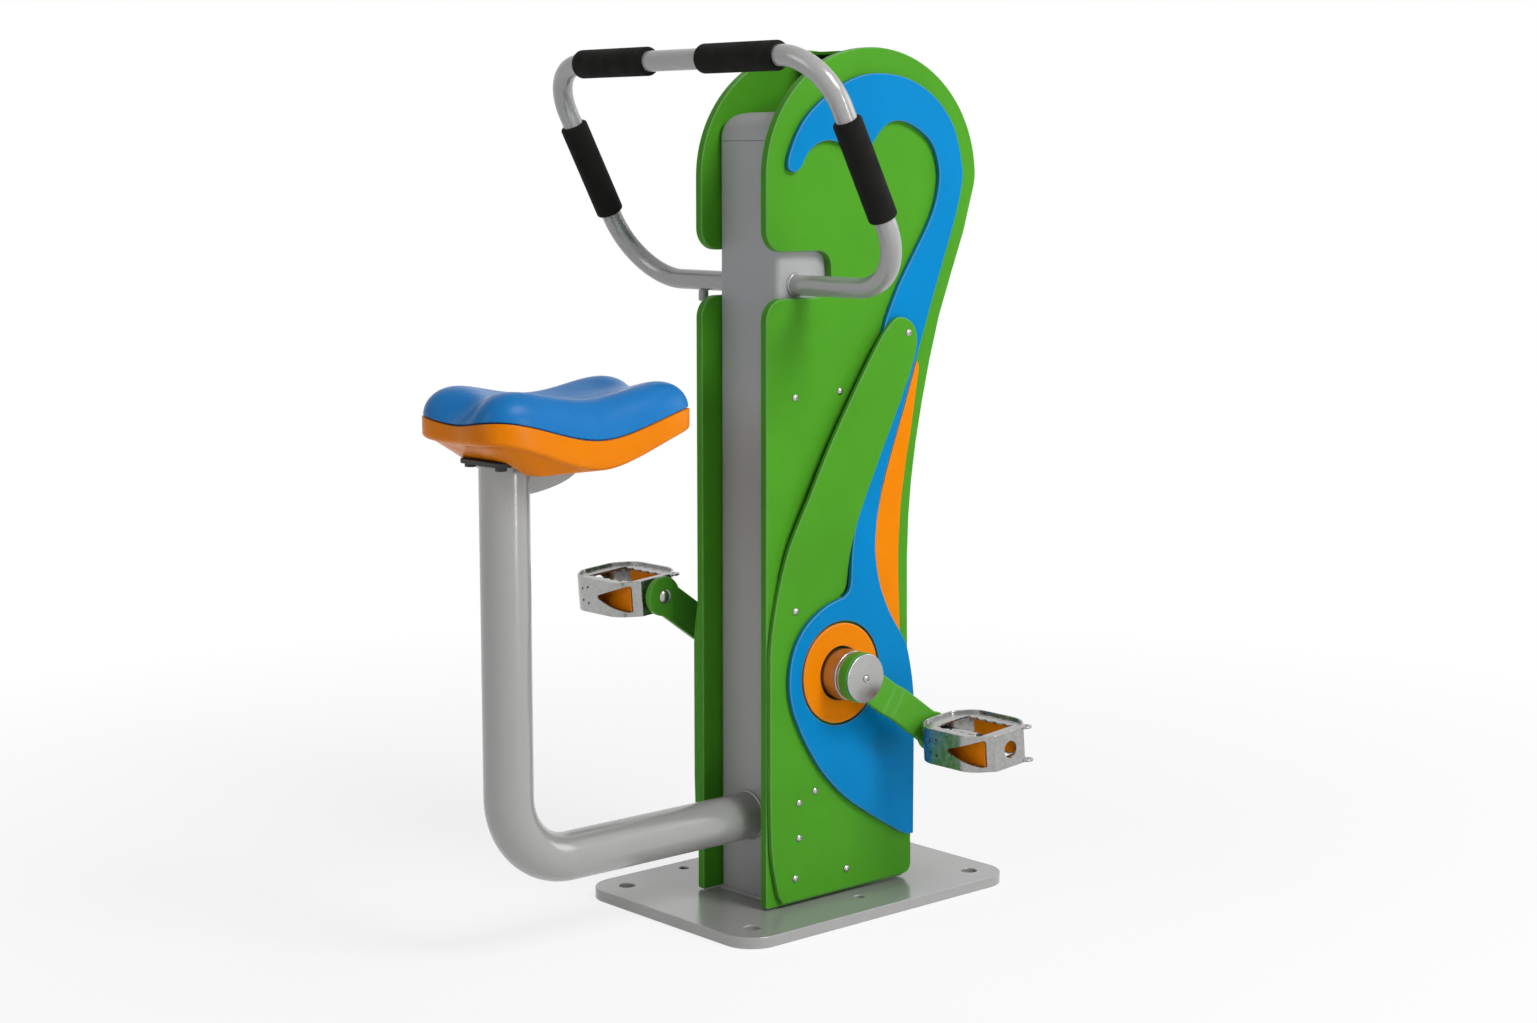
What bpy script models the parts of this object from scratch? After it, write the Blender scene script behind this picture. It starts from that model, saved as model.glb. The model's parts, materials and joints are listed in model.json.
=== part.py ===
"""Children's outdoor pedal station with a seat, a handlebar and turning pedals.

Lengths are metres and +Z is up. The origin is under the base plate, on the mast's centre line.
The rider sits at -Y and faces +Y, and +X is the rider's right hand.
A name that ends in share or shares holds parts of another size, not lengths.
"""
import math

import bmesh
import bpy
from mathutils import Euler, Matrix, Vector

# Fits and facets
FIT = 0.0003
WELD = 0.000003
OVERRUN = 0.010
ROUND_SIDES = 24
SMALL_SIDES = 12
HOLE_SIDES = 6
HIDDEN_SIDES = 12
ARC_STEPS = 4
DOME_STEPS = 2
RUN_STEPS = 2
SHARP_ANGLE = math.radians(35)

# Base plate, measured from the mast's centre line
PLATE_THICK = 0.016
PLATE_TO_LEFT = 0.200
PLATE_TO_RIGHT = 0.160
PLATE_TO_RIDER = 0.200
PLATE_TO_NOSE = 0.310
PLATE_CORNER_RADIUS = 0.045
ANCHOR_INSET = 0.045
ANCHOR_RADIUS = 0.0115
SERVICE_RADIUS = 0.007
SERVICE_RIGHT_X = 0.105
SERVICE_RIGHT_Y = 0.054
SERVICE_LEFT_X = 0.170
SERVICE_LEFT_Y = 0.037

# Mast
MAST_WIDTH = 0.120
MAST_WALL = 0.005
MAST_CORNER_RADIUS = 0.008
MAST_LENGTH = 1.049
CAP_LIP = 0.003
CAP_DOME = 0.036
CAP_PLUG = 0.020
CAP_RINGS = 5
CAP_ROUND_POWER = 0.38

# Seat post, one bent tube from the mast's rider side up to the seat
POST_RADIUS = 0.0325
POST_WALL = 0.004
POST_RUN_Z = 0.133
POST_SEAT_Y = 0.470
POST_BEND_RADIUS = 0.095
POST_TOP_Z = 0.660
GUSSET_THICK = 0.008
GUSSET_DEEP = 0.042
GUSSET_LONG = 0.090
GUSSET_EDGE_SHARES = ((0, -1), (0.20, -0.95), (0.48, -0.83), (0.76, -0.62), (0.95, -0.32), (1, 0))

# Mounting plate under the seat, with welded studs and nuts
MOUNT_THICK = 0.006
MOUNT_WIDTH = 0.090
MOUNT_BEHIND_POST = 0.040
MOUNT_BEFORE_POST = 0.130
STUD_INSET = 0.012
STUD_RADIUS = 0.004
STUD_LONG = 0.018
NUT_RADIUS = 0.0075
NUT_HIGH = 0.005
HEX_SIDES = 6

# Seat, heights measured from the top of the mounting plate
SEAT_WIDTH = 0.196
SEAT_LENGTH = 0.336
SEAT_MID_Y = 0.3845
SEAT_CORNER_POWER = 5
SEAT_END_DENT = 0.004
SEAT_DENT_WIDTH = 0.034
SEAT_SIDES = 40
SEAT_RINGS = 6
SEAT_ROLL_SHARE = 0.38
BOWL_RING_SHARES = (0.41, 0.2)
SEAT_LIP = 0.0015
SEAT_UNDER_Z = 0.017
SEAT_UNDER_SHARE = 0.74
SEAT_UNDER_LONG_SHARE = 0.25
SEAT_UNDER_MID_Y = 0.432
SEAT_RIM_SHARE = 0.93
SEAT_RIM_RADIUS = 0.008
RIM_CORNER_Z = 0.025
RIM_SIDE_DROP = 0.039
RIM_END_DROP = 0.003
SEAM_CORNER_Z = 0.056
SEAM_SIDE_DROP = 0.032
SEAM_END_DROP = 0.009
SEAM_FLOOR_Z = 0.038
SEAM_RING_SHARES = (0.5, 1)
RIM_STEPS = 2
BOWL_Z = 0.067
LOBE_END_RISE = 0.0235
LOBE_SIDE_RISE = 0.0095
LOBE_END_SHARE = 0.98
LOBE_SIDE_SHARE = 0.90
LOBE_NOTCH = 0.002
NOTCH_WIDTH = 0.027
POCKET_CLEAR = 0.006

# Handlebar, one closed loop in a plane that leans to the rider
BAR_RADIUS = 0.014
BAR_WALL = 0.0025
BAR_FOOT_Y = 0.027
BAR_FOOT_Z = 0.873
BAR_LEAN = math.radians(28)
BAR_HIGH = 0.336
BAR_HALF_WIDTH = 0.280
BAR_LOW_BEND = 0.100
BAR_TOP_BEND = 0.075
BEND_STEPS = 6
GRIP_THICK = 0.005
GRIP_ROUND = 0.003
GRIP_SIDES = 16
GRIP_LEG_LONG = 0.140
GRIP_LEG_START = 0.105
GRIP_TOP_LONG = 0.148
GRIP_TOP_START = 0.055
PEG_RADIUS = 0.007
PEG_LONG = 0.015
PEG_X = 0.133

# Side panels and the sheets woven over them
PANEL_THICK = 0.013
SHEET_THICK = 0.008
PANEL_TO_RIDER = 0.0915
PANEL_TO_NOSE = 0.306
PANEL_TOP_Z = 1.1925
PANEL_FOOT_CLEAR = 0.002
HEAD_CENTRE_SHARE = 0.795
HEAD_STEPS = 26
TAIL_CORNER = 0.014
TOE_CORNER = 0.004
NOTCH_UNDER_BAR = 0.0175
NOTCH_OVER_BAR = 0.045
NOTCH_PAST_BAR = 0.0535
NOTCH_LIP_RADIUS = 0.030
NOTCH_END_RADIUS = 0.022
WEAVE_GAP = 0.0009
WEAVE_LOW_SHARE = 0.127
WEAVE_HIGH_SHARE = 0.308
WEAVE_STRIPS = 6
DISC_RADIUS = 0.070
DISC_GROOVE = 0.003
HUB_CLEAR = 0.003

# Places on a panel, as shares of the way from the crank's axis to the panel's edges.
# The first number runs to the nose edge, or when negative to the rider's edge,
# and the second to the top, or when negative to the foot.
TAIL_SHARES = ((0.540, -0.868), (0.536, -0.113), (0.526, 0.168), (0.551, 0.297),
               (0.624, 0.425), (0.745, 0.567), (0.920, 0.705), (1.0, 0.795))
SWIRL_TOP_SHARES = ((-0.640, 0.803), (-0.721, 0.807), (-0.740, 0.819), (-0.672, 0.846),
                    (-0.507, 0.883), (-0.211, 0.918), (0.104, 0.950), (0.297, 0.959),
                    (0.500, 0.950), (0.686, 0.920), (0.814, 0.874), (0.874, 0.813),
                    (0.872, 0.781), (0.832, 0.733), (0.759, 0.673), (0.652, 0.586),
                    (0.577, 0.522), (0.547, 0.495))
LEAF_INNER_SHARES = ((0.547, 0.495), (0.467, 0.425), (0.381, 0.355), (0.303, 0.285),
                     (0.255, 0.215), (0.250, 0.177), (0.270, 0.140), (0.304, 0.112),
                     (0.350, 0.084), (0.411, 0.056), (0.439, 0.043))
SWIRL_BACK_SHARES = ((0.439, 0.043), (0.462, 0.031), (0.481, 0.013), (0.501, -0.036),
                     (0.516, -0.113), (0.524, -0.184), (0.526, -0.322))
CIRCLE_SHARES = ((0.526, -0.796), (0.463, -0.789), (0.303, -0.711), (0.168, -0.638),
                 (0.029, -0.553), (-0.290, -0.416), (-0.583, -0.242), (-0.737, -0.101),
                 (-0.769, 0.007), (-0.696, 0.051), (-0.518, 0.086), (-0.264, 0.110),
                 (-0.057, 0.120), (0.018, 0.123))
WEAVE_SHARES = ((0.018, 0.123), (0.051, 0.130), (0.070, 0.145), (0.085, 0.190),
                (0.120, 0.238), (0.168, 0.278), (0.212, 0.308))
COVERED_SHARES = ((0.212, 0.308), (0.237, 0.355), (0.270, 0.425), (0.292, 0.495),
                  (0.307, 0.536), (0.339, 0.569))
SWIRL_INNER_SHARES = ((0.339, 0.569), (0.426, 0.622), (0.539, 0.675), (0.652, 0.730),
                      (0.704, 0.778), (0.701, 0.816), (0.641, 0.853), (0.512, 0.878),
                      (0.394, 0.884), (0.292, 0.869), (0.161, 0.817))
HOOK_INNER_SHARES = ((0.161, 0.817), (0.051, 0.843), (-0.102, 0.852), (-0.291, 0.848),
                     (-0.453, 0.832), (-0.555, 0.810), (-0.640, 0.803))
TONGUE_TOE_SHARES = ((-0.794, -0.984), (-0.866, -0.947), (-0.931, -0.849),
                     (-0.976, -0.726), (-0.998, -0.491))
TONGUE_OUTER_SHARES = ((-0.998, 0.040), (-0.972, 0.079), (-0.887, 0.139), (-0.737, 0.217),
                       (-0.445, 0.300), (-0.155, 0.375), (0.074, 0.447), (0.203, 0.508),
                       (0.288, 0.544), (0.358, 0.565), (0.405, 0.570), (0.471, 0.564),
                       (0.518, 0.547), (0.521, 0.518), (0.471, 0.473), (0.361, 0.402),
                       (0.274, 0.349), (0.212, 0.308))
TONGUE_COVERED_SHARES = ((0.040, 0.1225), (0.220, 0.110), (0.380, 0.050), (0.440, 0.020),
                         (0.470, -0.036), (0.490, -0.113), (0.515, -0.322))
LEAF_OUTER_SHARES = ((0.445, 0.044), (0.445, 0.054), (0.436, 0.110), (0.430, 0.160),
                     (0.433, 0.205), (0.445, 0.262), (0.480, 0.332), (0.511, 0.378),
                     (0.550, 0.448), (0.569, 0.486), (0.555, 0.495))
BOLT_SHARES = ((-0.583, 0.4507), (0.040, 0.4553), (-0.633, 0.1106), (-0.332, -0.509),
               (-0.575, -0.547), (-0.575, -0.704), (-0.632, -0.881), (0.069, -0.893))
TIP_BOLT_SHARE = (0.460, 0.544)

# Bolts through both panels, and the spacer tube on the one that misses the mast
PANEL_BOLT_RADIUS = 0.0025
PANEL_BOLT_HEAD_RADIUS = 0.005
PANEL_BOLT_HEAD_HIGH = 0.003
SPACER_RADIUS = 0.010

# Strip that closes the gap between the panels
COVER_THICK = 0.004
COVER_INSET = 0.003
COVER_START = math.radians(100)

# Crank axis, bearings and shaft
CRANK_Y = 0.032
CRANK_Z = 0.336
CRANK_DROP = math.radians(35)
SHAFT_RADIUS = 0.0125
TUBE_RADIUS = 0.025
TUBE_WALL = 0.004
CUP_RADIUS = 0.035
CUP_END_X = 0.115
BEARING_RADIUS = 0.026
BEARING_WIDE = 0.015
WASHER_RADIUS = 0.034
WASHER_THICK = 0.004

# Crank arms
ARM_LONG = 0.165
ARM_WIDTH = 0.047
ARM_THICK = 0.010
ARM_END_RADIUS = 0.028
ARM_START = 0.018
ARM_HUB_HOLE = 0.016
ARM_RECESS = 0.001
ARM_JOG = 0.009
ARM_JOG_START = 0.062
ARM_JOG_END = 0.082
ARM_JOG_STRIPS = 4
ARM_END_STEPS = 20
BOSS_RADIUS = 0.035
BOSS_LONG = 0.0165
HUB_CAP_RADIUS = 0.034
HUB_CAP_THICK = 0.003
HUB_SCREW_RADIUS = 0.005
HUB_SCREW_HIGH = 0.003

# Pedals
PEDAL_SIDES = 16
PEDAL_LONG = 0.138
PEDAL_DEEP = 0.112
PEDAL_HIGH = 0.051
PEDAL_TILT = math.radians(5)
PEDAL_STAND_OFF = 0.007
PEDAL_WALL = 0.003
PEDAL_EDGE_SHARES = ((1, -0.50), (1, 0.50), (0.62, 1), (-0.65, 1), (-1, 0.50), (-1, -0.50),
                     (-0.65, -1), (0.62, -1))
PEDAL_EDGE_RADIUS = 0.025
PEDAL_RADIUS_SHARES = (0.16, 0.16, 1.7, 1.4, 1, 1, 1.4, 1.7)
FLANGE_THICK = 0.003
FLANGE_INSET = 0.004
OPEN_HALF_LONG = 0.043
OPEN_HALF_DEEP = 0.0355
TOOTH = 0.004
TOOTH_BOW = 0.002
TEETH = 5
FLANGE_HOLES = 4
FLANGE_HOLE_RADIUS = 0.0022
FLANGE_HOLE_X = 0.032
FLANGE_HOLE_Y = 0.0462
FLANGE_HOLE_LAST_Y = 0.0440
WINDOW_APEX_X = -0.004
WINDOW_BASE_X = 0.060
WINDOW_HALF_HIGH = 0.0175
WINDOW_FROM_Y = 0.024
EAR_RADIUS = 0.0085
EAR_X = 0.067
EAR_Y = 0.034
EAR_THICK = 0.003
EAR_INSET = 0.0005
EAR_HOLE_RADIUS = 0.0025
REFLECTOR_FROM_X = -0.030
REFLECTOR_TO_X = 0.040
REFLECTOR_Y = 0.036
REFLECTOR_THICK = 0.006
SPINDLE_RADIUS = 0.007
SPINDLE_HEAD_RADIUS = 0.010
SPINDLE_HEAD_HIGH = 0.005
COLLAR_RADIUS = 0.016
BARREL_RADIUS = 0.012
BARREL_PAST_MIDDLE = 0.008
DUST_CAP_HIGH = 0.005

# Places that follow from the sizes above
half_mast = MAST_WIDTH / 2
mast_foot = PLATE_THICK + FIT
mast_top = mast_foot + MAST_LENGTH
panel_foot = PLATE_THICK + PANEL_FOOT_CLEAR
panel_inner_x = half_mast + FIT
panel_face_x = panel_inner_x + PANEL_THICK
first_sheet_x = panel_face_x + FIT
second_sheet_x = first_sheet_x + SHEET_THICK + FIT
sheet_step = SHEET_THICK + FIT
hub_hole = CUP_RADIUS + HUB_CLEAR
mount_low_z = POST_TOP_Z + FIT
seat_base_z = mount_low_z + MOUNT_THICK + FIT
washer_x = CUP_END_X + FIT
arm_x = washer_x + WASHER_THICK + FIT
boss_end_x = arm_x + BOSS_LONG
arm_end_x = arm_x + ARM_RECESS + ARM_JOG + ARM_THICK
cage_x = arm_end_x + PEDAL_STAND_OFF
bar_up = Vector((0, -math.sin(BAR_LEAN), math.cos(BAR_LEAN)))
bar_foot = Vector((0, -BAR_FOOT_Y, BAR_FOOT_Z))
bar_turn = Euler((BAR_LEAN, 0, 0))
crank_turn = Euler((-CRANK_DROP, 0, 0))
crank_place = Vector((0, CRANK_Y, CRANK_Z))

TO_RIGHT = Euler((0, math.pi / 2, 0))
HALF_TURN = Matrix.Rotation(math.pi, 4, "Z")
# A flat outline is drawn in X and Y. This stands it up, with its X along Y and its Y along Z.
UPRIGHT = Matrix(((0, 0, 1, 0), (1, 0, 0, 0), (0, 1, 0, 0), (0, 0, 0, 1)))

PAINTS = {
    "panel_green": ((0.098, 0.352, 0.032), 0.35, 0.0),
    "swirl_blue": ((0.005, 0.254, 0.631), 0.35, 0.0),
    "leaf_orange": ((0.939, 0.262, 0.003), 0.35, 0.0),
    "seat_blue": ((0.017, 0.171, 0.578), 0.30, 0.0),
    "seat_orange": ((0.807, 0.205, 0.002), 0.30, 0.0),
    "mast_grey": ((0.223, 0.223, 0.226), 0.45, 0.2),
    "tube_grey": ((0.376, 0.376, 0.371), 0.35, 0.4),
    "cage_grey": ((0.275, 0.285, 0.275), 0.45, 0.5),
    "foam_black": ((0.010, 0.010, 0.009), 0.85, 0.0),
    "bright_steel": ((0.580, 0.580, 0.570), 0.25, 1.0),
    "dark_rubber": ((0.020, 0.020, 0.020), 0.70, 0.0),
}


def clear_scene():
    for item in list(bpy.data.objects):
        bpy.data.objects.remove(item)


def make_collection(name):
    group = bpy.data.collections.new(name)
    bpy.context.scene.collection.children.link(group)
    return group


def make_paints():
    """One Principled material for each paint."""
    paints = {}
    for name, (colour, roughness, metallic) in PAINTS.items():
        material = bpy.data.materials.new(name)
        material.use_nodes = True
        shader = material.node_tree.nodes["Principled BSDF"]
        shader.inputs["Base Color"].default_value = (*colour, 1)
        shader.inputs["Roughness"].default_value = roughness
        shader.inputs["Metallic"].default_value = metallic
        paints[name] = material
    return paints


clear_scene()
PARTS = make_collection("kids_pedal_station")
CUTTERS = make_collection("cutters")
PAINT = make_paints()


def empty(name, place, turn=Euler(), parent=None):
    item = bpy.data.objects.new(name, None)
    item.location = place
    item.rotation_euler = turn
    item.parent = parent
    PARTS.objects.link(item)
    return item


def add_part(name, mesh, paint, place=(0, 0, 0), turn=Euler(), parent=None):
    """A named part with its paint, placed in its parent's frame."""
    item = bpy.data.objects.new(name, mesh)
    mesh.name = name
    mesh.materials.clear()
    mesh.materials.append(PAINT[paint])
    item.location = place
    item.rotation_euler = turn
    item.parent = parent
    PARTS.objects.link(item)
    return item


def evaluated_mesh(item):
    bpy.context.view_layer.update()
    return bpy.data.meshes.new_from_object(item.evaluated_get(bpy.context.evaluated_depsgraph_get()))


def bake(item):
    """Give a part the mesh that its modifiers make, shaded smooth up to a sharp angle."""
    mesh = evaluated_mesh(item)
    item.modifiers.clear()
    item.data = mesh
    mesh.name = item.name
    mesh.shade_smooth()
    mesh.set_sharp_from_angle(angle=SHARP_ANGLE)


def combine(item, meshes, operation):
    """Cut meshes drawn in the part's own frame out of it, or fuse them to it."""
    for mesh in meshes:
        tool = bpy.data.objects.new(item.name + "_tool", mesh)
        tool.parent = item.parent
        tool.location = item.location
        tool.rotation_euler = item.rotation_euler
        tool.hide_render = True
        tool.display_type = "WIRE"
        CUTTERS.objects.link(tool)
        step = item.modifiers.new(operation, "BOOLEAN")
        step.operation = operation
        step.object = tool
    bake(item)
    for tool in list(CUTTERS.objects):
        bpy.data.objects.remove(tool)


def cut_away(item, meshes):
    combine(item, meshes, "DIFFERENCE")


def join_on(item, meshes):
    combine(item, meshes, "UNION")


def to_mesh(shape, name):
    mesh = bpy.data.meshes.new(name)
    bmesh.ops.recalc_face_normals(shape, faces=shape.faces)
    shape.to_mesh(mesh)
    shape.free()
    return mesh


def box_mesh(low, high, corner=0, axis=2):
    """A box between two corners, with its edges along one axis rounded if a radius is given."""
    low, high = Vector(low), Vector(high)
    shape = bmesh.new()
    bmesh.ops.create_cube(shape, size=1)
    for vert in shape.verts:
        vert.co = (low + high) / 2 + vert.co * (high - low)
    if corner:
        along = [edge for edge in shape.edges
                 if abs((edge.verts[0].co - edge.verts[1].co)[axis]) > corner]
        bmesh.ops.bevel(shape, geom=along, offset=corner, segments=ARC_STEPS, profile=0.5,
                        affect="EDGES")
    return to_mesh(shape, "box")


def rod_mesh(radius, start, end, sides=SMALL_SIDES):
    """A round rod between two points."""
    start, end = Vector(start), Vector(end)
    shape = bmesh.new()
    bmesh.ops.create_cone(shape, cap_ends=True, segments=sides, radius1=radius, radius2=radius,
                          depth=(end - start).length)
    turn = (end - start).to_track_quat("Z", "X").to_matrix().to_4x4()
    shape.transform(Matrix.Translation((start + end) / 2) @ turn)
    return to_mesh(shape, "rod")


def merged_mesh(meshes):
    """Several cutters or added shapes in one mesh."""
    shape = bmesh.new()
    for mesh in meshes:
        shape.from_mesh(mesh)
    return to_mesh(shape, "group")


def moved(mesh, matrix):
    copy = mesh.copy()
    copy.transform(matrix)
    return copy


def turned_mesh(profile, sides=ROUND_SIDES, ring=False):
    """A solid turned about Z from (radius, height) points that run down its outer side."""
    count = len(profile)
    edges = [(i, i + 1) for i in range(count - 1)]
    if ring:
        edges.append((count - 1, 0))
    line = bpy.data.meshes.new("profile")
    line.from_pydata([(radius, 0, height) for radius, height in profile], edges, [])
    item = bpy.data.objects.new("profile", line)
    CUTTERS.objects.link(item)
    screw = item.modifiers.new("turn", "SCREW")
    screw.steps = sides
    screw.render_steps = sides
    screw.use_merge_vertices = True
    screw.merge_threshold = WELD
    mesh = evaluated_mesh(item)
    bpy.data.objects.remove(item)
    return mesh


def ring_mesh(outer, inner, low, high, sides=ROUND_SIDES):
    """A plain ring about Z between two heights."""
    return turned_mesh(((outer, high), (outer, low), (inner, low), (inner, high)), sides, ring=True)


def dome(radius, low, high):
    """Profile points of a domed head, from its top down to its rim."""
    angles = [math.pi / 2 * (1 - i / DOME_STEPS) for i in range(DOME_STEPS + 1)]
    return [(0, low + high)] + [(radius * math.cos(angle), low + high * math.sin(angle))
                                for angle in angles[1:]]


def clear_radius(radius, sides):
    """The corner radius of a faceted hole that clears a round piece all round."""
    return (radius + FIT) / math.cos(math.pi / sides)


def circle(centre, radius, sides=ROUND_SIDES):
    """Points round a circle in a flat outline."""
    return [Vector((centre[0] + radius * math.cos(i * math.tau / sides),
                    centre[1] + radius * math.sin(i * math.tau / sides))) for i in range(sides)]


def rounded_corner(before, at, after, radius):
    """Arc points that round the corner between two straight sides."""
    back = (before - at).normalized()
    onward = (after - at).normalized()
    half = back.angle(onward) / 2
    centre = at + (back + onward).normalized() * radius / math.sin(half)
    start = at + back * radius / math.tan(half) - centre
    end = at + onward * radius / math.tan(half) - centre
    sweep = start.angle_signed(end)
    return [centre + Matrix.Rotation(-sweep * i / ARC_STEPS, 2) @ start for i in range(ARC_STEPS + 1)]


def rounded_loop(points, radii):
    """A closed outline with each corner rounded by its own radius."""
    loop = []
    for i, (point, radius) in enumerate(zip(points, radii)):
        loop += rounded_corner(points[i - 1], point, points[(i + 1) % len(points)], radius)
    return loop


def smooth_run(points):
    """Points along a smooth curve through the given ones, both ends included."""
    ends = [points[0] * 2 - points[1]] + points + [points[-1] * 2 - points[-2]]
    run = []
    for before, start, end, after in zip(ends, ends[1:], ends[2:], ends[3:]):
        for step in range(RUN_STEPS):
            t = step / RUN_STEPS
            run.append((2 * start + (end - before) * t
                        + (2 * before - 5 * start + 4 * end - after) * t ** 2
                        + (3 * start - before - 3 * end + after) * t ** 3) / 2)
    return run + [points[-1]]


def outline_mesh(loops, low, thick, upright=False):
    """A flat plate from closed outlines, the first its edge and the others its holes."""
    flat = bpy.data.curves.new("outline", "CURVE")
    flat.dimensions = "2D"
    flat.fill_mode = "BOTH"
    flat.extrude = thick / 2
    for loop in loops:
        spline = flat.splines.new("POLY")
        spline.points.add(len(loop) - 1)
        for point, place in zip(spline.points, loop):
            point.co = (place[0], place[1], 0, 1)
        spline.use_cyclic_u = True
    item = bpy.data.objects.new("outline", flat)
    CUTTERS.objects.link(item)
    mesh = evaluated_mesh(item)
    bpy.data.objects.remove(item)
    shape = bmesh.new()
    shape.from_mesh(mesh)
    bmesh.ops.remove_doubles(shape, verts=shape.verts, dist=WELD)
    shape.transform(Matrix.Translation((0, 0, low + thick / 2)))
    if upright:
        shape.transform(UPRIGHT)
    return to_mesh(shape, "plate")


def pipe_mesh(points, radius, wall, resolution=2):
    """A hollow tube along a line of points, open at both ends."""
    line = bpy.data.curves.new("pipe", "CURVE")
    line.dimensions = "3D"
    line.bevel_depth = radius
    line.bevel_resolution = resolution
    spline = line.splines.new("POLY")
    spline.points.add(len(points) - 1)
    for point, place in zip(spline.points, points):
        point.co = (*place, 1)
    item = bpy.data.objects.new("pipe", line)
    CUTTERS.objects.link(item)
    skin = item.modifiers.new("wall", "SOLIDIFY")
    skin.thickness = wall
    skin.offset = -1
    mesh = evaluated_mesh(item)
    bpy.data.objects.remove(item)
    return mesh


def loft_mesh(rings):
    """A closed body through rings of points, where a ring of one point closes an end."""
    shape = bmesh.new()
    rows = [[shape.verts.new(point) for point in ring] for ring in rings]
    for low, high in zip(rows, rows[1:]):
        count = max(len(low), len(high))
        for i in range(count):
            j = (i + 1) % count
            if len(low) == 1:
                shape.faces.new((low[0], high[j], high[i]))
            elif len(high) == 1:
                shape.faces.new((low[i], low[j], high[0]))
            else:
                shape.faces.new((low[i], low[j], high[j], high[i]))
    for row in (rows[0], rows[-1]):
        if len(row) > 1:
            shape.faces.new(row)
    return to_mesh(shape, "loft")


def mirrored(item, name):
    """The same part on the rider's left."""
    mesh = item.data.copy()
    mesh.transform(Matrix.Scale(-1, 4, (1, 0, 0)))
    mesh.flip_normals()
    return add_part(name, mesh, item.data.materials[0].name)


def on_both_sides(name, mesh, paint):
    """A part of the right side and its mirror image on the left."""
    right = add_part(name + "_right", mesh, paint)
    bake(right)
    mirrored(right, name + "_left")


def step_between(value):
    """Zero below 0 and one above 1, with a smooth rise between."""
    value = min(1, max(0, value))
    return value * value * (3 - 2 * value)


def panel_spot(shares):
    """The Y and Z of a place given as shares from the crank's axis to the panel's edges."""
    across, up = shares
    wide = PANEL_TO_NOSE - CRANK_Y if across > 0 else PANEL_TO_RIDER + CRANK_Y
    high = PANEL_TOP_Z - CRANK_Z if up > 0 else CRANK_Z - panel_foot
    return Vector((CRANK_Y + across * wide, CRANK_Z + up * high))


def panel_run(shares):
    return smooth_run([panel_spot(share) for share in shares])


def base_plate():
    corners = [Vector(point) for point in (
        (-PLATE_TO_LEFT, -PLATE_TO_RIDER), (PLATE_TO_RIGHT, -PLATE_TO_RIDER),
        (PLATE_TO_RIGHT, PLATE_TO_NOSE), (-PLATE_TO_LEFT, PLATE_TO_NOSE))]
    loops = [rounded_loop(corners, [PLATE_CORNER_RADIUS] * len(corners))]
    for x in (ANCHOR_INSET - PLATE_TO_LEFT, PLATE_TO_RIGHT - ANCHOR_INSET):
        for y in (ANCHOR_INSET - PLATE_TO_RIDER, PLATE_TO_NOSE - ANCHOR_INSET):
            loops.append(circle((x, y), ANCHOR_RADIUS, SMALL_SIDES))
    loops.append(circle((SERVICE_RIGHT_X, SERVICE_RIGHT_Y), SERVICE_RADIUS, SMALL_SIDES))
    loops.append(circle((-SERVICE_LEFT_X, -SERVICE_LEFT_Y), SERVICE_RADIUS, SMALL_SIDES))
    bake(add_part("base_plate", outline_mesh(loops, 0, PLATE_THICK), "tube_grey"))


def mast():
    tube = add_part("mast", box_mesh((-half_mast, -half_mast, mast_foot),
                                     (half_mast, half_mast, mast_top), MAST_CORNER_RADIUS), "mast_grey")
    inner = half_mast - MAST_WALL
    bore = box_mesh((-inner, -inner, mast_foot - OVERRUN), (inner, inner, mast_top + OVERRUN))
    reach = Vector((half_mast + OVERRUN, 0, 0))
    holes = [rod_mesh(clear_radius(TUBE_RADIUS, ROUND_SIDES), crank_place - reach, crank_place + reach,
                      ROUND_SIDES)]
    for share in BOLT_SHARES:
        place = Vector((0, *panel_spot(share)))
        holes.append(rod_mesh(clear_radius(PANEL_BOLT_RADIUS, HOLE_SIDES), place - reach, place + reach,
                              HOLE_SIDES))
    cut_away(tube, [bore, merged_mesh(holes)])


def mast_cap():
    """A domed plastic cap with a straight lip on the tube's rim and a plug inside it."""
    inner = half_mast - MAST_WALL - FIT
    low = mast_top + FIT

    def square(half, z):
        corners = [Vector(point) for point in ((-half, -half), (half, -half), (half, half), (-half, half))]
        radius = half * MAST_CORNER_RADIUS / half_mast
        return [(point.x, point.y, z) for point in rounded_loop(corners, [radius] * len(corners))]

    rings = [square(inner, low - CAP_PLUG), square(inner, low), square(half_mast, low)]
    for i in range(CAP_RINGS):
        angle = i / CAP_RINGS * math.pi / 2
        rings.append(square(half_mast * math.cos(angle) ** CAP_ROUND_POWER,
                            low + CAP_LIP + CAP_DOME * math.sin(angle)))
    rings.append([(0, 0, low + CAP_LIP + CAP_DOME)])
    bake(add_part("mast_cap", loft_mesh(rings), "mast_grey"))


def arc_points(centre, first, second, radius):
    """A quarter bend about a centre, from one unit direction to another."""
    points = []
    for i in range(BEND_STEPS + 1):
        angle = i / BEND_STEPS * math.pi / 2
        points.append(centre + (first * math.cos(angle) + second * math.sin(angle)) * radius)
    return points


def seat_post():
    back = Vector((0, -1, 0))
    down = Vector((0, 0, -1))
    start = Vector((0, -half_mast - FIT, POST_RUN_Z))
    centre = Vector((0, POST_BEND_RADIUS - POST_SEAT_Y, POST_RUN_Z + POST_BEND_RADIUS))
    top = Vector((0, -POST_SEAT_Y, POST_TOP_Z))
    points = [start] + arc_points(centre, down, back, POST_BEND_RADIUS) + [top]
    bake(add_part("seat_post", pipe_mesh(points, POST_RADIUS, POST_WALL, resolution=4), "tube_grey"))


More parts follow.
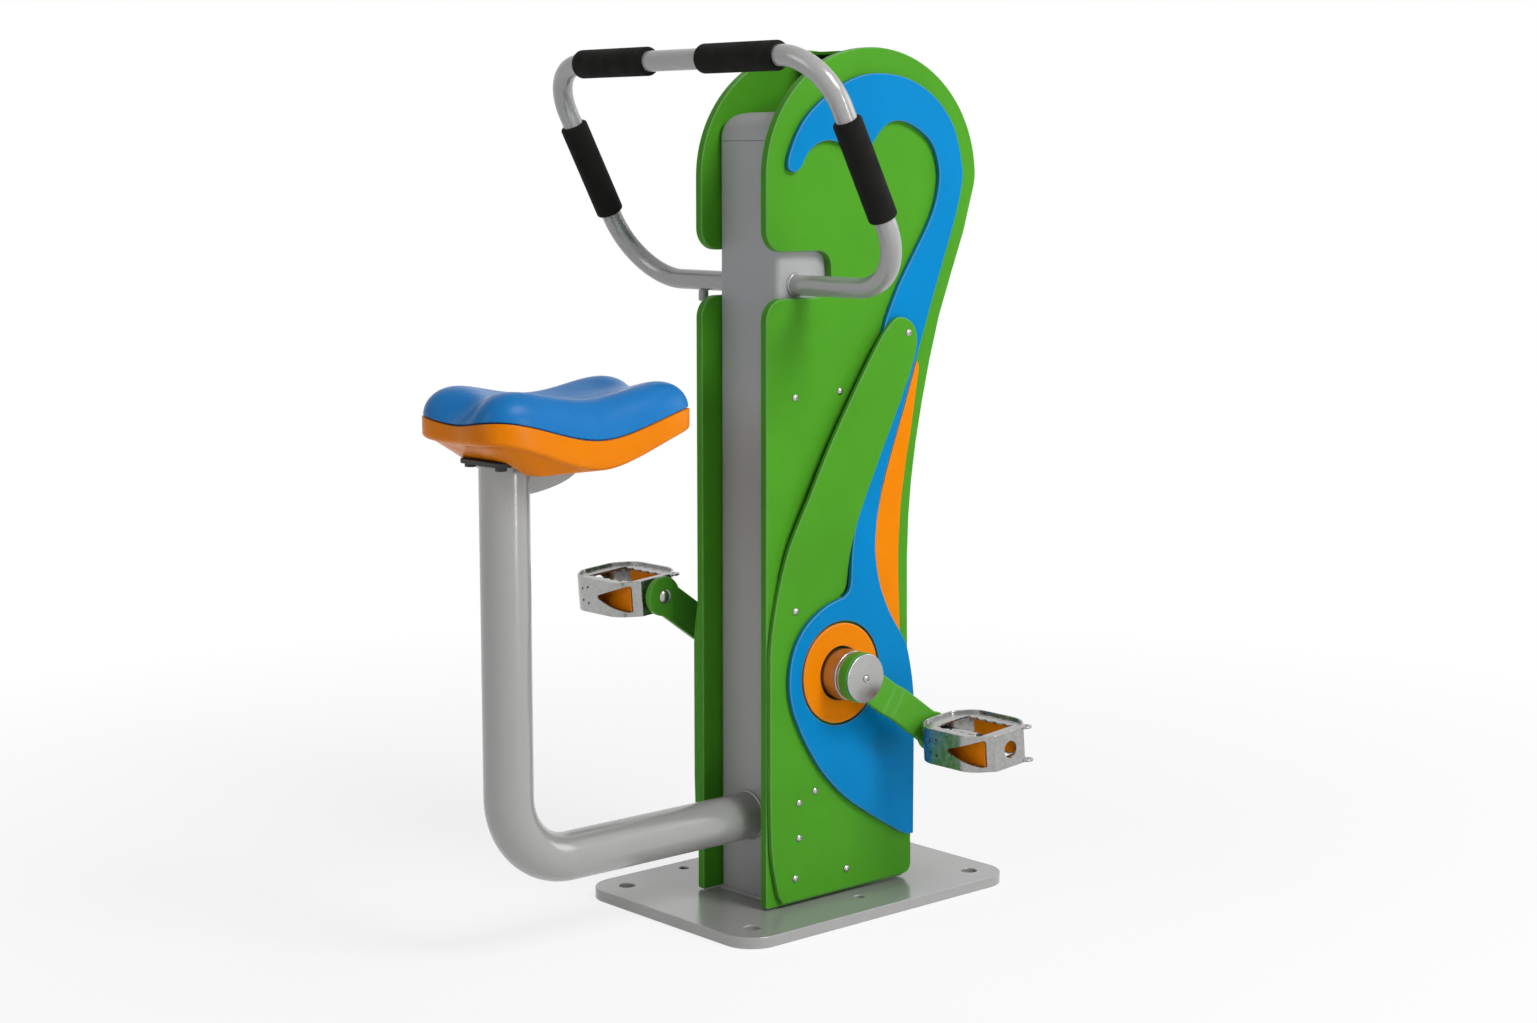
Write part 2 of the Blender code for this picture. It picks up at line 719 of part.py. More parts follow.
def seat_gusset():
    near = -POST_SEAT_Y + POST_RADIUS + FIT
    lower = [Vector((near + across * GUSSET_LONG, POST_TOP_Z - FIT + up * GUSSET_DEEP))
             for across, up in GUSSET_EDGE_SHARES]
    outline = [Vector((near, POST_TOP_Z - FIT))] + smooth_run(lower)
    bake(add_part("seat_gusset", outline_mesh([outline], -GUSSET_THICK / 2, GUSSET_THICK, upright=True),
                  "tube_grey"))


def stud_spots():
    x = MOUNT_WIDTH / 2 - STUD_INSET
    rear = -POST_SEAT_Y - MOUNT_BEHIND_POST + STUD_INSET
    front = -POST_SEAT_Y + MOUNT_BEFORE_POST - STUD_INSET
    return [Vector((side * x, y, mount_low_z)) for side in (-1, 1) for y in (rear, front)]


def stud_holes():
    up = Vector((0, 0, STUD_LONG + FIT))
    return merged_mesh([rod_mesh(clear_radius(STUD_RADIUS, HOLE_SIDES), spot, spot + up, HOLE_SIDES)
                        for spot in stud_spots()])


def seat_mount():
    low = Vector((-MOUNT_WIDTH / 2, -POST_SEAT_Y - MOUNT_BEHIND_POST, mount_low_z))
    high = Vector((MOUNT_WIDTH / 2, -POST_SEAT_Y + MOUNT_BEFORE_POST, mount_low_z + MOUNT_THICK))
    plate = add_part("seat_mount_plate", box_mesh(low, high), "mast_grey")
    up = Vector((0, 0, STUD_LONG))
    down = Vector((0, 0, NUT_HIGH))
    middle = Vector((0, 0, MOUNT_THICK / 2))
    studs = [rod_mesh(STUD_RADIUS, spot + middle, spot + up, HOLE_SIDES) for spot in stud_spots()]
    nuts = [rod_mesh(NUT_RADIUS, spot - down, spot + middle, HEX_SIDES) for spot in stud_spots()]
    join_on(plate, [merged_mesh(studs), merged_mesh(nuts)])


def seat_outline(angle, shrink=0):
    """A place on the seat's plan, from its centre, with rounded corners and dented ends."""
    across, along = math.cos(angle), math.sin(angle)
    size = (abs(across) ** SEAT_CORNER_POWER + abs(along) ** SEAT_CORNER_POWER) ** (1 / SEAT_CORNER_POWER)
    x = across / size * (SEAT_WIDTH / 2 - shrink)
    y = along / size * (SEAT_LENGTH / 2 - shrink)
    dent = SEAT_END_DENT * math.exp(-(x / SEAT_DENT_WIDTH) ** 2) * step_between(abs(along))
    return Vector((x, y - math.copysign(dent, along)))


def edge_height(spot, corner, side_drop, end_drop):
    """A height along the seat's edge: highest at the corners, lower mid end, lowest mid side."""
    along = step_between(abs(spot.y) / (SEAT_LENGTH / 2))
    across = step_between(abs(spot.x) / (SEAT_WIDTH / 2))
    return seat_base_z + corner - side_drop * (1 - along) - end_drop * (1 - across)


def seat_height(spot):
    """The height of the seat's crown: a bowl with a lobe in each corner and notched ends."""
    along = step_between(abs(spot.y) / (SEAT_LENGTH / 2 * LOBE_END_SHARE))
    across = step_between(abs(spot.x) / (SEAT_WIDTH / 2 * LOBE_SIDE_SHARE))
    notch = LOBE_NOTCH * math.exp(-(spot.x / NOTCH_WIDTH) ** 2)
    return seat_base_z + BOWL_Z + (LOBE_END_RISE - notch) * along + LOBE_SIDE_RISE * across


def seat_ring(share, height, shrink=0):
    """A ring of the seat at a share of its plan, with heights from a function of the place."""
    ring = []
    for i in range(SEAT_SIDES):
        edge = seat_outline(i * math.tau / SEAT_SIDES, shrink)
        spot = edge * share
        ring.append((spot.x, spot.y - SEAT_MID_Y, height(edge, spot)))
    return ring


def seat_seam(edge, share, offset=0):
    seam = edge_height(edge, SEAM_CORNER_Z, SEAM_SIDE_DROP, SEAM_END_DROP)
    floor = seat_base_z + SEAM_FLOOR_Z
    return floor + (seam - floor) * share + offset


def seat_top():
    rings = [[(0, -SEAT_MID_Y, seat_base_z + SEAM_FLOOR_Z)]]
    for share in SEAM_RING_SHARES:
        rings.append(seat_ring(share, lambda edge, spot, share=share: seat_seam(edge, share)))
    for i in range(1, SEAT_RINGS + 1):
        inward = 1 - math.cos(i / SEAT_RINGS * math.pi / 2)
        share = 1 - SEAT_ROLL_SHARE * inward
        rise = math.sin(i / SEAT_RINGS * math.pi / 2)
        rings.append(seat_ring(share, lambda edge, spot, rise=rise: seat_seam(edge, 1)
                               + (seat_height(spot) - seat_seam(edge, 1)) * rise, SEAT_LIP))
    for share in BOWL_RING_SHARES:
        rings.append(seat_ring(share, lambda edge, spot: seat_height(spot), SEAT_LIP))
    rings.append([(0, -SEAT_MID_Y, seat_height(Vector((0, 0))))])
    bake(add_part("seat_top", loft_mesh(rings), "seat_blue"))


def seat_shell():
    def rim(edge, up=0):
        return edge_height(edge, RIM_CORNER_Z, RIM_SIDE_DROP, RIM_END_DROP) + up

    under = seat_base_z - SEAT_UNDER_Z
    rings = [[(0, -SEAT_MID_Y, seat_base_z + SEAM_FLOOR_Z - FIT)]]
    for share in SEAM_RING_SHARES:
        rings.append(seat_ring(share, lambda edge, spot, share=share: seat_seam(edge, share, -FIT)))
    for i in range(RIM_STEPS + 1):
        angle = i / RIM_STEPS * math.pi / 2
        share = SEAT_RIM_SHARE + (1 - SEAT_RIM_SHARE) * math.cos(angle)
        up = SEAT_RIM_RADIUS * (1 - math.sin(angle))
        rings.append(seat_ring(share, lambda edge, spot, up=up: rim(edge, up)))
    bottom = []
    for x, y, _ in seat_ring(1, lambda edge, spot: under):
        along = (y + SEAT_MID_Y) * SEAT_UNDER_LONG_SHARE
        bottom.append((x * SEAT_UNDER_SHARE, along - SEAT_UNDER_MID_Y, under))
    rings.append(bottom)
    rings.append([(0, -SEAT_UNDER_MID_Y, under)])
    shell = add_part("seat_shell", loft_mesh(rings), "seat_orange")
    pocket = box_mesh((-MOUNT_WIDTH / 2 - POCKET_CLEAR,
                       -POST_SEAT_Y - MOUNT_BEHIND_POST - POCKET_CLEAR, under - OVERRUN),
                      (MOUNT_WIDTH / 2 + POCKET_CLEAR,
                       -POST_SEAT_Y + MOUNT_BEFORE_POST + POCKET_CLEAR, seat_base_z))
    cut_away(shell, [pocket, stud_holes()])


def handlebar():
    """The loop leaves the mast's right face and comes back to its left face."""
    side = Vector((1, 0, 0))
    half = [bar_foot + side * (half_mast + FIT)]
    low_centre = bar_foot + side * (BAR_HALF_WIDTH - BAR_LOW_BEND) + bar_up * BAR_LOW_BEND
    top_centre = (bar_foot + side * (BAR_HALF_WIDTH - BAR_TOP_BEND)
                  + bar_up * (BAR_HIGH - BAR_TOP_BEND))
    half += arc_points(low_centre, -bar_up, side, BAR_LOW_BEND)
    half += arc_points(top_centre, side, bar_up, BAR_TOP_BEND)
    other = [Vector((-point.x, point.y, point.z)) for point in reversed(half)]
    bake(add_part("handlebar_tube", pipe_mesh(half + other, BAR_RADIUS, BAR_WALL),
                  "tube_grey"))


def grips():
    bore = BAR_RADIUS + FIT
    outer = bore + GRIP_THICK

    def sleeve(long):
        edge = GRIP_ROUND / 2
        return turned_mesh(((outer - edge, long), (outer, long - edge), (outer, edge), (outer - edge, 0),
                            (bore, 0), (bore, long)), GRIP_SIDES, ring=True)

    leg, top = sleeve(GRIP_LEG_LONG), sleeve(GRIP_TOP_LONG)
    for side, name in ((1, "right"), (-1, "left")):
        foot = bar_foot + Vector((side * BAR_HALF_WIDTH, 0, 0)) + bar_up * GRIP_LEG_START
        bake(add_part("grip_leg_" + name, leg.copy(), "foam_black", foot, bar_turn))
        start = bar_foot + bar_up * BAR_HIGH + Vector((side * GRIP_TOP_START, 0, 0))
        turn = Euler((0, side * math.pi / 2, 0))
        bake(add_part("grip_top_" + name, top.copy(), "foam_black", start, turn))


def handlebar_peg():
    top = bar_foot + Vector((-PEG_X, 0, -BAR_RADIUS - FIT))
    mesh = rod_mesh(PEG_RADIUS, top - Vector((0, 0, PEG_LONG)), top)
    bake(add_part("handlebar_peg", mesh, "mast_grey"))


def panel_nose_edge():
    """The head's round top from its rider side over to the nose, and the tail down to the foot."""
    centre = Vector(((PANEL_TO_NOSE - PANEL_TO_RIDER) / 2, panel_spot((0, HEAD_CENTRE_SHARE)).y))
    half_wide = (PANEL_TO_NOSE + PANEL_TO_RIDER) / 2
    high = PANEL_TOP_Z - centre.y
    head = [centre + Vector((half_wide * math.cos(math.pi * (1 - i / HEAD_STEPS)),
                             high * math.sin(math.pi * (1 - i / HEAD_STEPS)))) for i in range(HEAD_STEPS)]
    return head, panel_run(TAIL_SHARES)[::-1]


def bolt_hole(share):
    return circle(panel_spot(share), clear_radius(PANEL_BOLT_RADIUS, HOLE_SIDES), HOLE_SIDES)


def panel_sheets():
    head, tail = panel_nose_edge()
    rider = -PANEL_TO_RIDER
    over, under = BAR_FOOT_Z + NOTCH_OVER_BAR, BAR_FOOT_Z - NOTCH_UNDER_BAR
    end = -BAR_FOOT_Y + NOTCH_PAST_BAR
    foot_nose = Vector((tail[-1].x, panel_foot))
    corners = [(tail[-1], foot_nose, Vector((rider, panel_foot)), TAIL_CORNER),
               (foot_nose, Vector((rider, panel_foot)), Vector((rider, under)), TOE_CORNER),
               (Vector((rider, panel_foot)), Vector((rider, under)), Vector((end, under)), NOTCH_LIP_RADIUS),
               (Vector((rider, under)), Vector((end, under)), Vector((end, over)), NOTCH_END_RADIUS),
               (Vector((end, under)), Vector((end, over)), Vector((rider, over)), NOTCH_END_RADIUS),
               (Vector((end, over)), Vector((rider, over)), head[0], NOTCH_LIP_RADIUS)]
    edge = head + tail
    for before, at, after, radius in corners:
        edge += rounded_corner(before, at, after, radius)
    holes = [circle((CRANK_Y, CRANK_Z), hub_hole), bolt_hole(TIP_BOLT_SHARE)]
    holes += [bolt_hole(share) for share in BOLT_SHARES]
    on_both_sides("panel_sheet", outline_mesh([edge] + holes, panel_inner_x, PANEL_THICK, upright=True),
                  "panel_green")


def crossed(mesh, lift):
    """Bend a plate across the stretch where the swirl and the tongue change places."""
    low = panel_spot((0, WEAVE_LOW_SHARE)).y
    high = panel_spot((0, WEAVE_HIGH_SHARE)).y
    shape = bmesh.new()
    shape.from_mesh(mesh)
    for i in range(WEAVE_STRIPS + 1):
        place = (0, 0, low + (high - low) * i / WEAVE_STRIPS)
        bmesh.ops.bisect_plane(shape, geom=shape.verts[:] + shape.edges[:] + shape.faces[:],
                               dist=WELD, plane_co=place, plane_no=(0, 0, 1))
    for vert in shape.verts:
        vert.co.x += lift(step_between((vert.co.z - low) / (high - low)))
    return to_mesh(shape, "crossed")


def swirl_sheets():
    """Over the tongue below the crossing, and on the panel above it."""
    edge = (panel_run(SWIRL_TOP_SHARES) + panel_run(LEAF_INNER_SHARES)[1:] + panel_run(SWIRL_BACK_SHARES)[1:]
            + panel_run(CIRCLE_SHARES) + panel_run(WEAVE_SHARES)[1:] + panel_run(COVERED_SHARES)[1:]
            + panel_run(SWIRL_INNER_SHARES)[1:] + panel_run(HOOK_INNER_SHARES)[1:-1])
    hole = circle((CRANK_Y, CRANK_Z), DISC_RADIUS + DISC_GROOVE)
    flat = outline_mesh([edge, hole, bolt_hole(TIP_BOLT_SHARE)], first_sheet_x, SHEET_THICK, upright=True)
    on_both_sides("swirl_sheet", crossed(flat, lambda up: sheet_step * (1 - up)), "swirl_blue")


def tongue_sheets():
    """On the panel below the crossing, and over the swirl above it."""
    aside = Vector((WEAVE_GAP, 0))
    weave = [point - aside for point in panel_run(WEAVE_SHARES)[::-1]]
    toe = panel_run(TONGUE_TOE_SHARES)
    tail_foot = Vector((panel_spot(TAIL_SHARES[0]).x, toe[0].y))
    before_foot = panel_spot(TONGUE_COVERED_SHARES[-1])
    edge = (toe + panel_run(TONGUE_OUTER_SHARES)[:-1] + weave
            + [panel_spot(share) for share in TONGUE_COVERED_SHARES[1:]]
            + rounded_corner(before_foot, tail_foot, toe[0], TAIL_CORNER))
    holes = [circle((CRANK_Y, CRANK_Z), hub_hole), bolt_hole(TIP_BOLT_SHARE)]
    holes += [bolt_hole(share) for share in BOLT_SHARES if below_crossing(share)]
    flat = outline_mesh([edge] + holes, first_sheet_x, SHEET_THICK, upright=True)
    on_both_sides("tongue_sheet", crossed(flat, lambda up: sheet_step * up), "panel_green")


def below_crossing(share):
    """The bolts below the crossing go through the tongue."""
    return share[1] < WEAVE_LOW_SHARE


def leaf_sheets():
    aside = Vector((WEAVE_GAP, 0))
    inner = [point + aside for point in panel_run(LEAF_INNER_SHARES)]
    outer = panel_run(LEAF_OUTER_SHARES)
    edge = inner[:-1] + outer[:-1] + [outer[-1] + aside]
    on_both_sides("leaf_sheet", outline_mesh([edge], first_sheet_x, SHEET_THICK, upright=True),
                  "leaf_orange")


def hub_discs():
    loops = [circle((CRANK_Y, CRANK_Z), DISC_RADIUS), circle((CRANK_Y, CRANK_Z), hub_hole)]
    on_both_sides("hub_disc", outline_mesh(loops, second_sheet_x, SHEET_THICK, upright=True), "leaf_orange")


def panel_bolt(name, share, face):
    """A bolt through both panels with a domed head on each outer face."""
    head = dome(PANEL_BOLT_HEAD_RADIUS, face + FIT, PANEL_BOLT_HEAD_HIGH)
    half = head + [(PANEL_BOLT_RADIUS, face + FIT)]
    mesh = turned_mesh(half + [(radius, -along) for radius, along in reversed(half)], HOLE_SIDES)
    bake(add_part(name, mesh, "bright_steel", Vector((0, *panel_spot(share))), TO_RIGHT))


def panel_bolts():
    for i, share in enumerate(BOLT_SHARES):
        face = first_sheet_x + SHEET_THICK if below_crossing(share) else panel_face_x
        panel_bolt("panel_bolt_" + str(i + 1), share, face)
    panel_bolt("tip_bolt", TIP_BOLT_SHARE, second_sheet_x + SHEET_THICK)
    half = panel_inner_x - FIT
    tube = ring_mesh(SPACER_RADIUS, clear_radius(PANEL_BOLT_RADIUS, HOLE_SIDES), -half, half, HOLE_SIDES)
    bake(add_part("tip_spacer", tube, "bright_steel", Vector((0, *panel_spot(TIP_BOLT_SHARE))), TO_RIGHT))


def offset_run(points, distance):
    """The same line moved sideways, to its right as it runs."""
    line = []
    for i, point in enumerate(points):
        along = points[min(i + 1, len(points) - 1)] - points[max(i - 1, 0)]
        line.append(point + Vector((along.y, -along.x)).normalized() * distance)
    return line


def rear_cover():
    """A bent strip between the panels, from the top of the head over the nose side to the foot."""
    head, tail = panel_nose_edge()
    first = round(HEAD_STEPS * (1 - COVER_START / math.pi))
    line = head[first:] + tail + [Vector((tail[-1].x, panel_foot + TAIL_CORNER))]
    outer = offset_run(line, COVER_INSET)
    inner = offset_run(line, COVER_INSET + COVER_THICK)
    half = panel_inner_x - FIT
    mesh = outline_mesh([outer + inner[::-1]], -half, 2 * half, upright=True)
    bake(add_part("rear_cover", mesh, "panel_green"))


def bearing_tube():
    tube = ring_mesh(TUBE_RADIUS, TUBE_RADIUS - TUBE_WALL, -half_mast, half_mast)
    bake(add_part("bearing_tube", tube, "mast_grey", crank_place, TO_RIGHT))


def side_parts(name, mesh, paint, parent=None):
    """A turned part of the crank line, on the right and, turned round, on the left."""
    mesh.transform(TO_RIGHT.to_matrix().to_4x4())
    place = Vector((0, 0, 0)) if parent else crank_place
    bake(add_part(name + "_right", mesh, paint, place, parent=parent))
    bake(add_part(name + "_left", moved(mesh, HALF_TURN), paint, place, parent=parent))


def bearings():
    """A sealed ball bearing, plain here, in a cup on each side of the mast."""
    low = half_mast + FIT
    floor = CUP_END_X - BEARING_WIDE - FIT
    seat = clear_radius(BEARING_RADIUS, ROUND_SIDES)
    bore = TUBE_RADIUS - TUBE_WALL
    cup = turned_mesh(((CUP_RADIUS, CUP_END_X), (CUP_RADIUS, low), (bore, low), (bore, floor),
                       (seat, floor), (seat, CUP_END_X)), ring=True)
    side_parts("bearing_cup", cup, "bright_steel")
    inner = clear_radius(SHAFT_RADIUS, HIDDEN_SIDES)
    side_parts("crank_bearing", ring_mesh(BEARING_RADIUS, inner, floor + FIT, CUP_END_X, HIDDEN_SIDES),
               "dark_rubber")


def crank_shaft(crank):
    half = boss_end_x - FIT
    shaft = rod_mesh(SHAFT_RADIUS, (-half, 0, 0), (half, 0, 0), HIDDEN_SIDES)
    bake(add_part("crank_shaft", shaft, "bright_steel", parent=crank))


def hub_trim(crank):
    inner = clear_radius(SHAFT_RADIUS, ROUND_SIDES)
    side_parts("hub_washer", ring_mesh(WASHER_RADIUS, inner, washer_x, washer_x + WASHER_THICK),
               "bright_steel", crank)
    low = boss_end_x + FIT
    high = low + HUB_CAP_THICK
    edge = HUB_CAP_THICK / 2
    cap = turned_mesh(dome(HUB_SCREW_RADIUS, high, HUB_SCREW_HIGH)
                      + [(HUB_CAP_RADIUS - edge, high), (HUB_CAP_RADIUS, high - edge),
                         (HUB_CAP_RADIUS, low), (0, low)])
    side_parts("hub_cap", cap, "bright_steel", crank)


def crank_arms(crank):
    """A flat bar along +Y with a step outward, a round end and a boss on the shaft."""
    half = ARM_WIDTH / 2
    turn_in = math.acos(half / ARM_END_RADIUS)
    end = [Vector((ARM_LONG + ARM_END_RADIUS * math.cos(angle), ARM_END_RADIUS * math.sin(angle)))
           for angle in (lerp(-math.pi / 2 - turn_in, math.pi / 2 + turn_in, i / ARM_END_STEPS)
                         for i in range(ARM_END_STEPS + 1))]
    outline = [Vector((-ARM_START, -half))] + end + [Vector((-ARM_START, half))]
    bore = clear_radius(SPINDLE_RADIUS, SMALL_SIDES)
    loops = [outline, circle((ARM_LONG, 0), bore, SMALL_SIDES), circle((0, 0), ARM_HUB_HOLE, SMALL_SIDES)]
    flat = outline_mesh(loops, arm_x + ARM_RECESS, ARM_THICK, upright=True)
    shape = bmesh.new()
    shape.from_mesh(flat)
    for i in range(ARM_JOG_STRIPS + 1):
        place = (0, lerp(ARM_JOG_START, ARM_JOG_END, i / ARM_JOG_STRIPS), 0)
        bmesh.ops.bisect_plane(shape, geom=shape.verts[:] + shape.edges[:] + shape.faces[:],
                               dist=WELD, plane_co=place, plane_no=(0, 1, 0))
    for vert in shape.verts:
        vert.co.x += ARM_JOG * step_between((vert.co.y - ARM_JOG_START) / (ARM_JOG_END - ARM_JOG_START))
    arm = add_part("crank_arm_right", to_mesh(shape, "arm"), "panel_green", parent=crank)
    boss = ring_mesh(BOSS_RADIUS, clear_radius(SHAFT_RADIUS, ROUND_SIDES), arm_x, boss_end_x)
    join_on(arm, [moved(boss, TO_RIGHT.to_matrix().to_4x4())])
    bake(add_part("crank_arm_left", moved(arm.data, HALF_TURN), "panel_green", parent=crank))


def lerp(start, end, share):
    return start + (end - start) * share


def pedal_edge(inset):
    """The pedal's plan outline, moved in by a distance on every side."""
    half_x, half_y = PEDAL_LONG / 2, PEDAL_DEEP / 2
    corners = [Vector((x * half_x, y * half_y)) for x, y in PEDAL_EDGE_SHARES]
    loop = rounded_loop(corners, [PEDAL_EDGE_RADIUS * share for share in PEDAL_RADIUS_SHARES])
    closed = [loop[-1]] + loop + [loop[0]]
    edge = []
    for before, point, after in zip(closed, closed[1:], closed[2:]):
        along = (after - before).normalized()
        edge.append(point + Vector((-along.y, along.x)) * inset)
    return edge


def toothed_loop():
    """The opening in a flange, with teeth along its two long sides."""
    loop = []
    for side in (-1, 1):
        for i in range(2 * TEETH + 1):
            x = lerp(side * OPEN_HALF_LONG, -side * OPEN_HALF_LONG, i / (2 * TEETH))
            y = OPEN_HALF_DEEP - i % 2 * TOOTH - TOOTH_BOW * (1 - (x / OPEN_HALF_LONG) ** 2)
            loop.append(Vector((x, side * y)))
    return loop


def pedal_cage_mesh():
    """A cage about its own centre: a wall, two flanges with teeth, two ears, windows and a bore."""
    half_x, half_z = PEDAL_LONG / 2, PEDAL_HIGH / 2
    wall = outline_mesh([pedal_edge(0), pedal_edge(PEDAL_WALL)], -half_z, PEDAL_HIGH)
    cage = add_part("cage", wall, "cage_grey")
    loops = [pedal_edge(PEDAL_WALL / 2), toothed_loop()]
    for side in (-1, 1):
        for i in range(FLANGE_HOLES):
            share = i / (FLANGE_HOLES - 1)
            x = lerp(-FLANGE_HOLE_X, FLANGE_HOLE_X, share)
            y = side * lerp(FLANGE_HOLE_Y, FLANGE_HOLE_LAST_Y, share)
            loops.append(circle((x, y), FLANGE_HOLE_RADIUS, HOLE_SIDES))
    lows = (FLANGE_INSET - half_z, half_z - FLANGE_INSET - FLANGE_THICK)
    flanges = [outline_mesh(loops, low, FLANGE_THICK) for low in lows]
    ear_loops = [circle((EAR_X, EAR_Y), EAR_RADIUS, SMALL_SIDES),
                 circle((EAR_X, EAR_Y), EAR_HOLE_RADIUS, HOLE_SIDES)]
    lows = (EAR_INSET - half_z, half_z - EAR_INSET - EAR_THICK)
    ears = [outline_mesh(ear_loops, low, EAR_THICK) for low in lows]
    join_on(cage, [merged_mesh(flanges), merged_mesh(ears)])
    reach = half_x + EAR_RADIUS + OVERRUN
    bore = rod_mesh(clear_radius(BARREL_RADIUS, PEDAL_SIDES), (-reach, 0, 0), (reach, 0, 0), PEDAL_SIDES)
    cut_away(cage, pedal_windows() + [bore])
    mesh = cage.data
    bpy.data.objects.remove(cage)
    return mesh


def pedal_windows():
    """A triangle through each of the walls in front of and behind the spindle."""
    loop = [Vector((WINDOW_APEX_X, 0)), Vector((WINDOW_BASE_X, -WINDOW_HALF_HIGH)),
            Vector((WINDOW_BASE_X, WINDOW_HALF_HIGH))]
    deep = PEDAL_DEEP / 2 + OVERRUN - WINDOW_FROM_Y
    cutters = []
    for start in (WINDOW_FROM_Y, -WINDOW_FROM_Y - deep):
        prism = outline_mesh([loop], 0, deep)
        place = Matrix.Translation((0, start + deep, 0)) @ Matrix.Rotation(math.pi / 2, 4, "X")
        cutters.append(moved(prism, place))
    return cutters


def pedal(crank, name, side):
    """A pedal's pieces about its spindle, at the end of the right (1) or left (-1) crank arm."""
    turn = Euler((CRANK_DROP + PEDAL_TILT, 0, 0))
    axis = empty("pedal_axis_" + name, (0, side * ARM_LONG, 0), turn, crank)
    arm_frame = empty("spindle_axis_" + name, (0, side * ARM_LONG, 0), Euler(), crank)
    middle = cage_x + PEDAL_LONG / 2

    def turned(piece, profile, paint, parent, ring=False):
        """A part turned about the spindle, with its profile's heights along the way out."""
        mesh = moved(turned_mesh(profile, PEDAL_SIDES, ring), TO_RIGHT.to_matrix().to_4x4())
        if side < 0:
            mesh.transform(HALF_TURN)
        bake(add_part(piece + "_" + name, mesh, paint, parent=parent))

    cage = moved(pedal_cage_mesh(), Matrix.Translation((side * middle, 0, 0)))
    bake(add_part("pedal_cage_" + name, cage, "cage_grey", parent=axis))
    half_z = PEDAL_HIGH / 2 - FLANGE_INSET - FLANGE_THICK - FIT
    for label, low_y in (("front", REFLECTOR_Y), ("rear", -REFLECTOR_Y - REFLECTOR_THICK)):
        block = box_mesh((side * middle + REFLECTOR_FROM_X, low_y, -half_z),
                         (side * middle + REFLECTOR_TO_X, low_y + REFLECTOR_THICK, half_z))
        bake(add_part("reflector_" + label + "_" + name, block, "leaf_orange", parent=axis))

    bore = clear_radius(SPINDLE_RADIUS, PEDAL_SIDES)
    wall_x = cage_x - FIT
    end = middle + BARREL_PAST_MIDDLE
    deep = end - DUST_CAP_HIGH
    barrel = ((bore, end), (BARREL_RADIUS, end), (BARREL_RADIUS, wall_x), (COLLAR_RADIUS, wall_x),
              (COLLAR_RADIUS, arm_end_x + FIT), (bore, arm_end_x + FIT))
    turned("pedal_barrel", barrel, "bright_steel", axis, ring=True)
    turned("dust_cap", dome(BARREL_RADIUS, end + FIT, DUST_CAP_HIGH) + [(0, end + FIT)], "dark_rubber", axis)
    head_x = arm_end_x - ARM_THICK - FIT
    head = [(radius, -along) for radius, along in dome(SPINDLE_HEAD_RADIUS, -head_x, SPINDLE_HEAD_HIGH)]
    turned("pedal_spindle", [(0, deep), (SPINDLE_RADIUS, deep), (SPINDLE_RADIUS, head_x)] + head[::-1],
           "bright_steel", arm_frame)


def build():
    base_plate()
    mast()
    mast_cap()
    seat_post()
    seat_gusset()
    seat_mount()
    seat_shell()
    seat_top()
    handlebar()
    grips()
    handlebar_peg()
    panel_sheets()
    swirl_sheets()
    tongue_sheets()
    leaf_sheets()
    hub_discs()
    panel_bolts()
    rear_cover()
    bearing_tube()
    bearings()
    crank = empty("crank_axis", crank_place, crank_turn)
    crank_shaft(crank)
    hub_trim(crank)
    crank_arms(crank)
    pedal(crank, "right", 1)
    pedal(crank, "left", -1)


build()
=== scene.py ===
"""Looks of the children's outdoor pedal station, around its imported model.

Lengths are metres. +Z is up, the rider faces +Y and +X is the rider's right hand.
A name that ends in share or shares holds parts of another size, not lengths.
"""
import json
import math

import bmesh
import bpy
from mathutils import Matrix, Vector

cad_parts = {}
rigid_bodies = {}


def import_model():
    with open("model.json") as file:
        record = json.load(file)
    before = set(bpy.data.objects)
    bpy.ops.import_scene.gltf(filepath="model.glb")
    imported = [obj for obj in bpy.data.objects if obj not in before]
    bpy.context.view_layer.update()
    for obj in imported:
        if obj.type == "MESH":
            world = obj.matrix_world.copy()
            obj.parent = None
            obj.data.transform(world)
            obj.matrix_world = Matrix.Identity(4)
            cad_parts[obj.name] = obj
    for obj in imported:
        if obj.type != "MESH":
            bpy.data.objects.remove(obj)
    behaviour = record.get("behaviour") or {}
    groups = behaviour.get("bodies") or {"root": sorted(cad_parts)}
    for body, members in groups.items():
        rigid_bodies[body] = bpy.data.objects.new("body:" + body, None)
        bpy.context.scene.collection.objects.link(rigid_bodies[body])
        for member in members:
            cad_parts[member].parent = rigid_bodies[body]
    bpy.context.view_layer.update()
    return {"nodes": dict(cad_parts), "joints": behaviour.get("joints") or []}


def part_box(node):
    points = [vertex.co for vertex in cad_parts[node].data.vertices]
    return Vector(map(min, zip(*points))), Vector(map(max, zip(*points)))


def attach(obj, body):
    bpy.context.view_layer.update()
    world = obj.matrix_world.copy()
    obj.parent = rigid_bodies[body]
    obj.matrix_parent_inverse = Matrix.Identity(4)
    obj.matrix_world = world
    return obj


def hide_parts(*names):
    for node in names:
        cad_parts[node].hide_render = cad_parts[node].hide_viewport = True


for item in list(bpy.data.objects):
    bpy.data.objects.remove(item)
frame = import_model()

# Camera, fitted to the photograph
CAMERA_PLACE = (2.5886, -2.3229, 1.0375)
CAMERA_TILT = math.radians(82.112)
CAMERA_TURN = math.radians(48.379)
CAMERA_LENS = 59.11

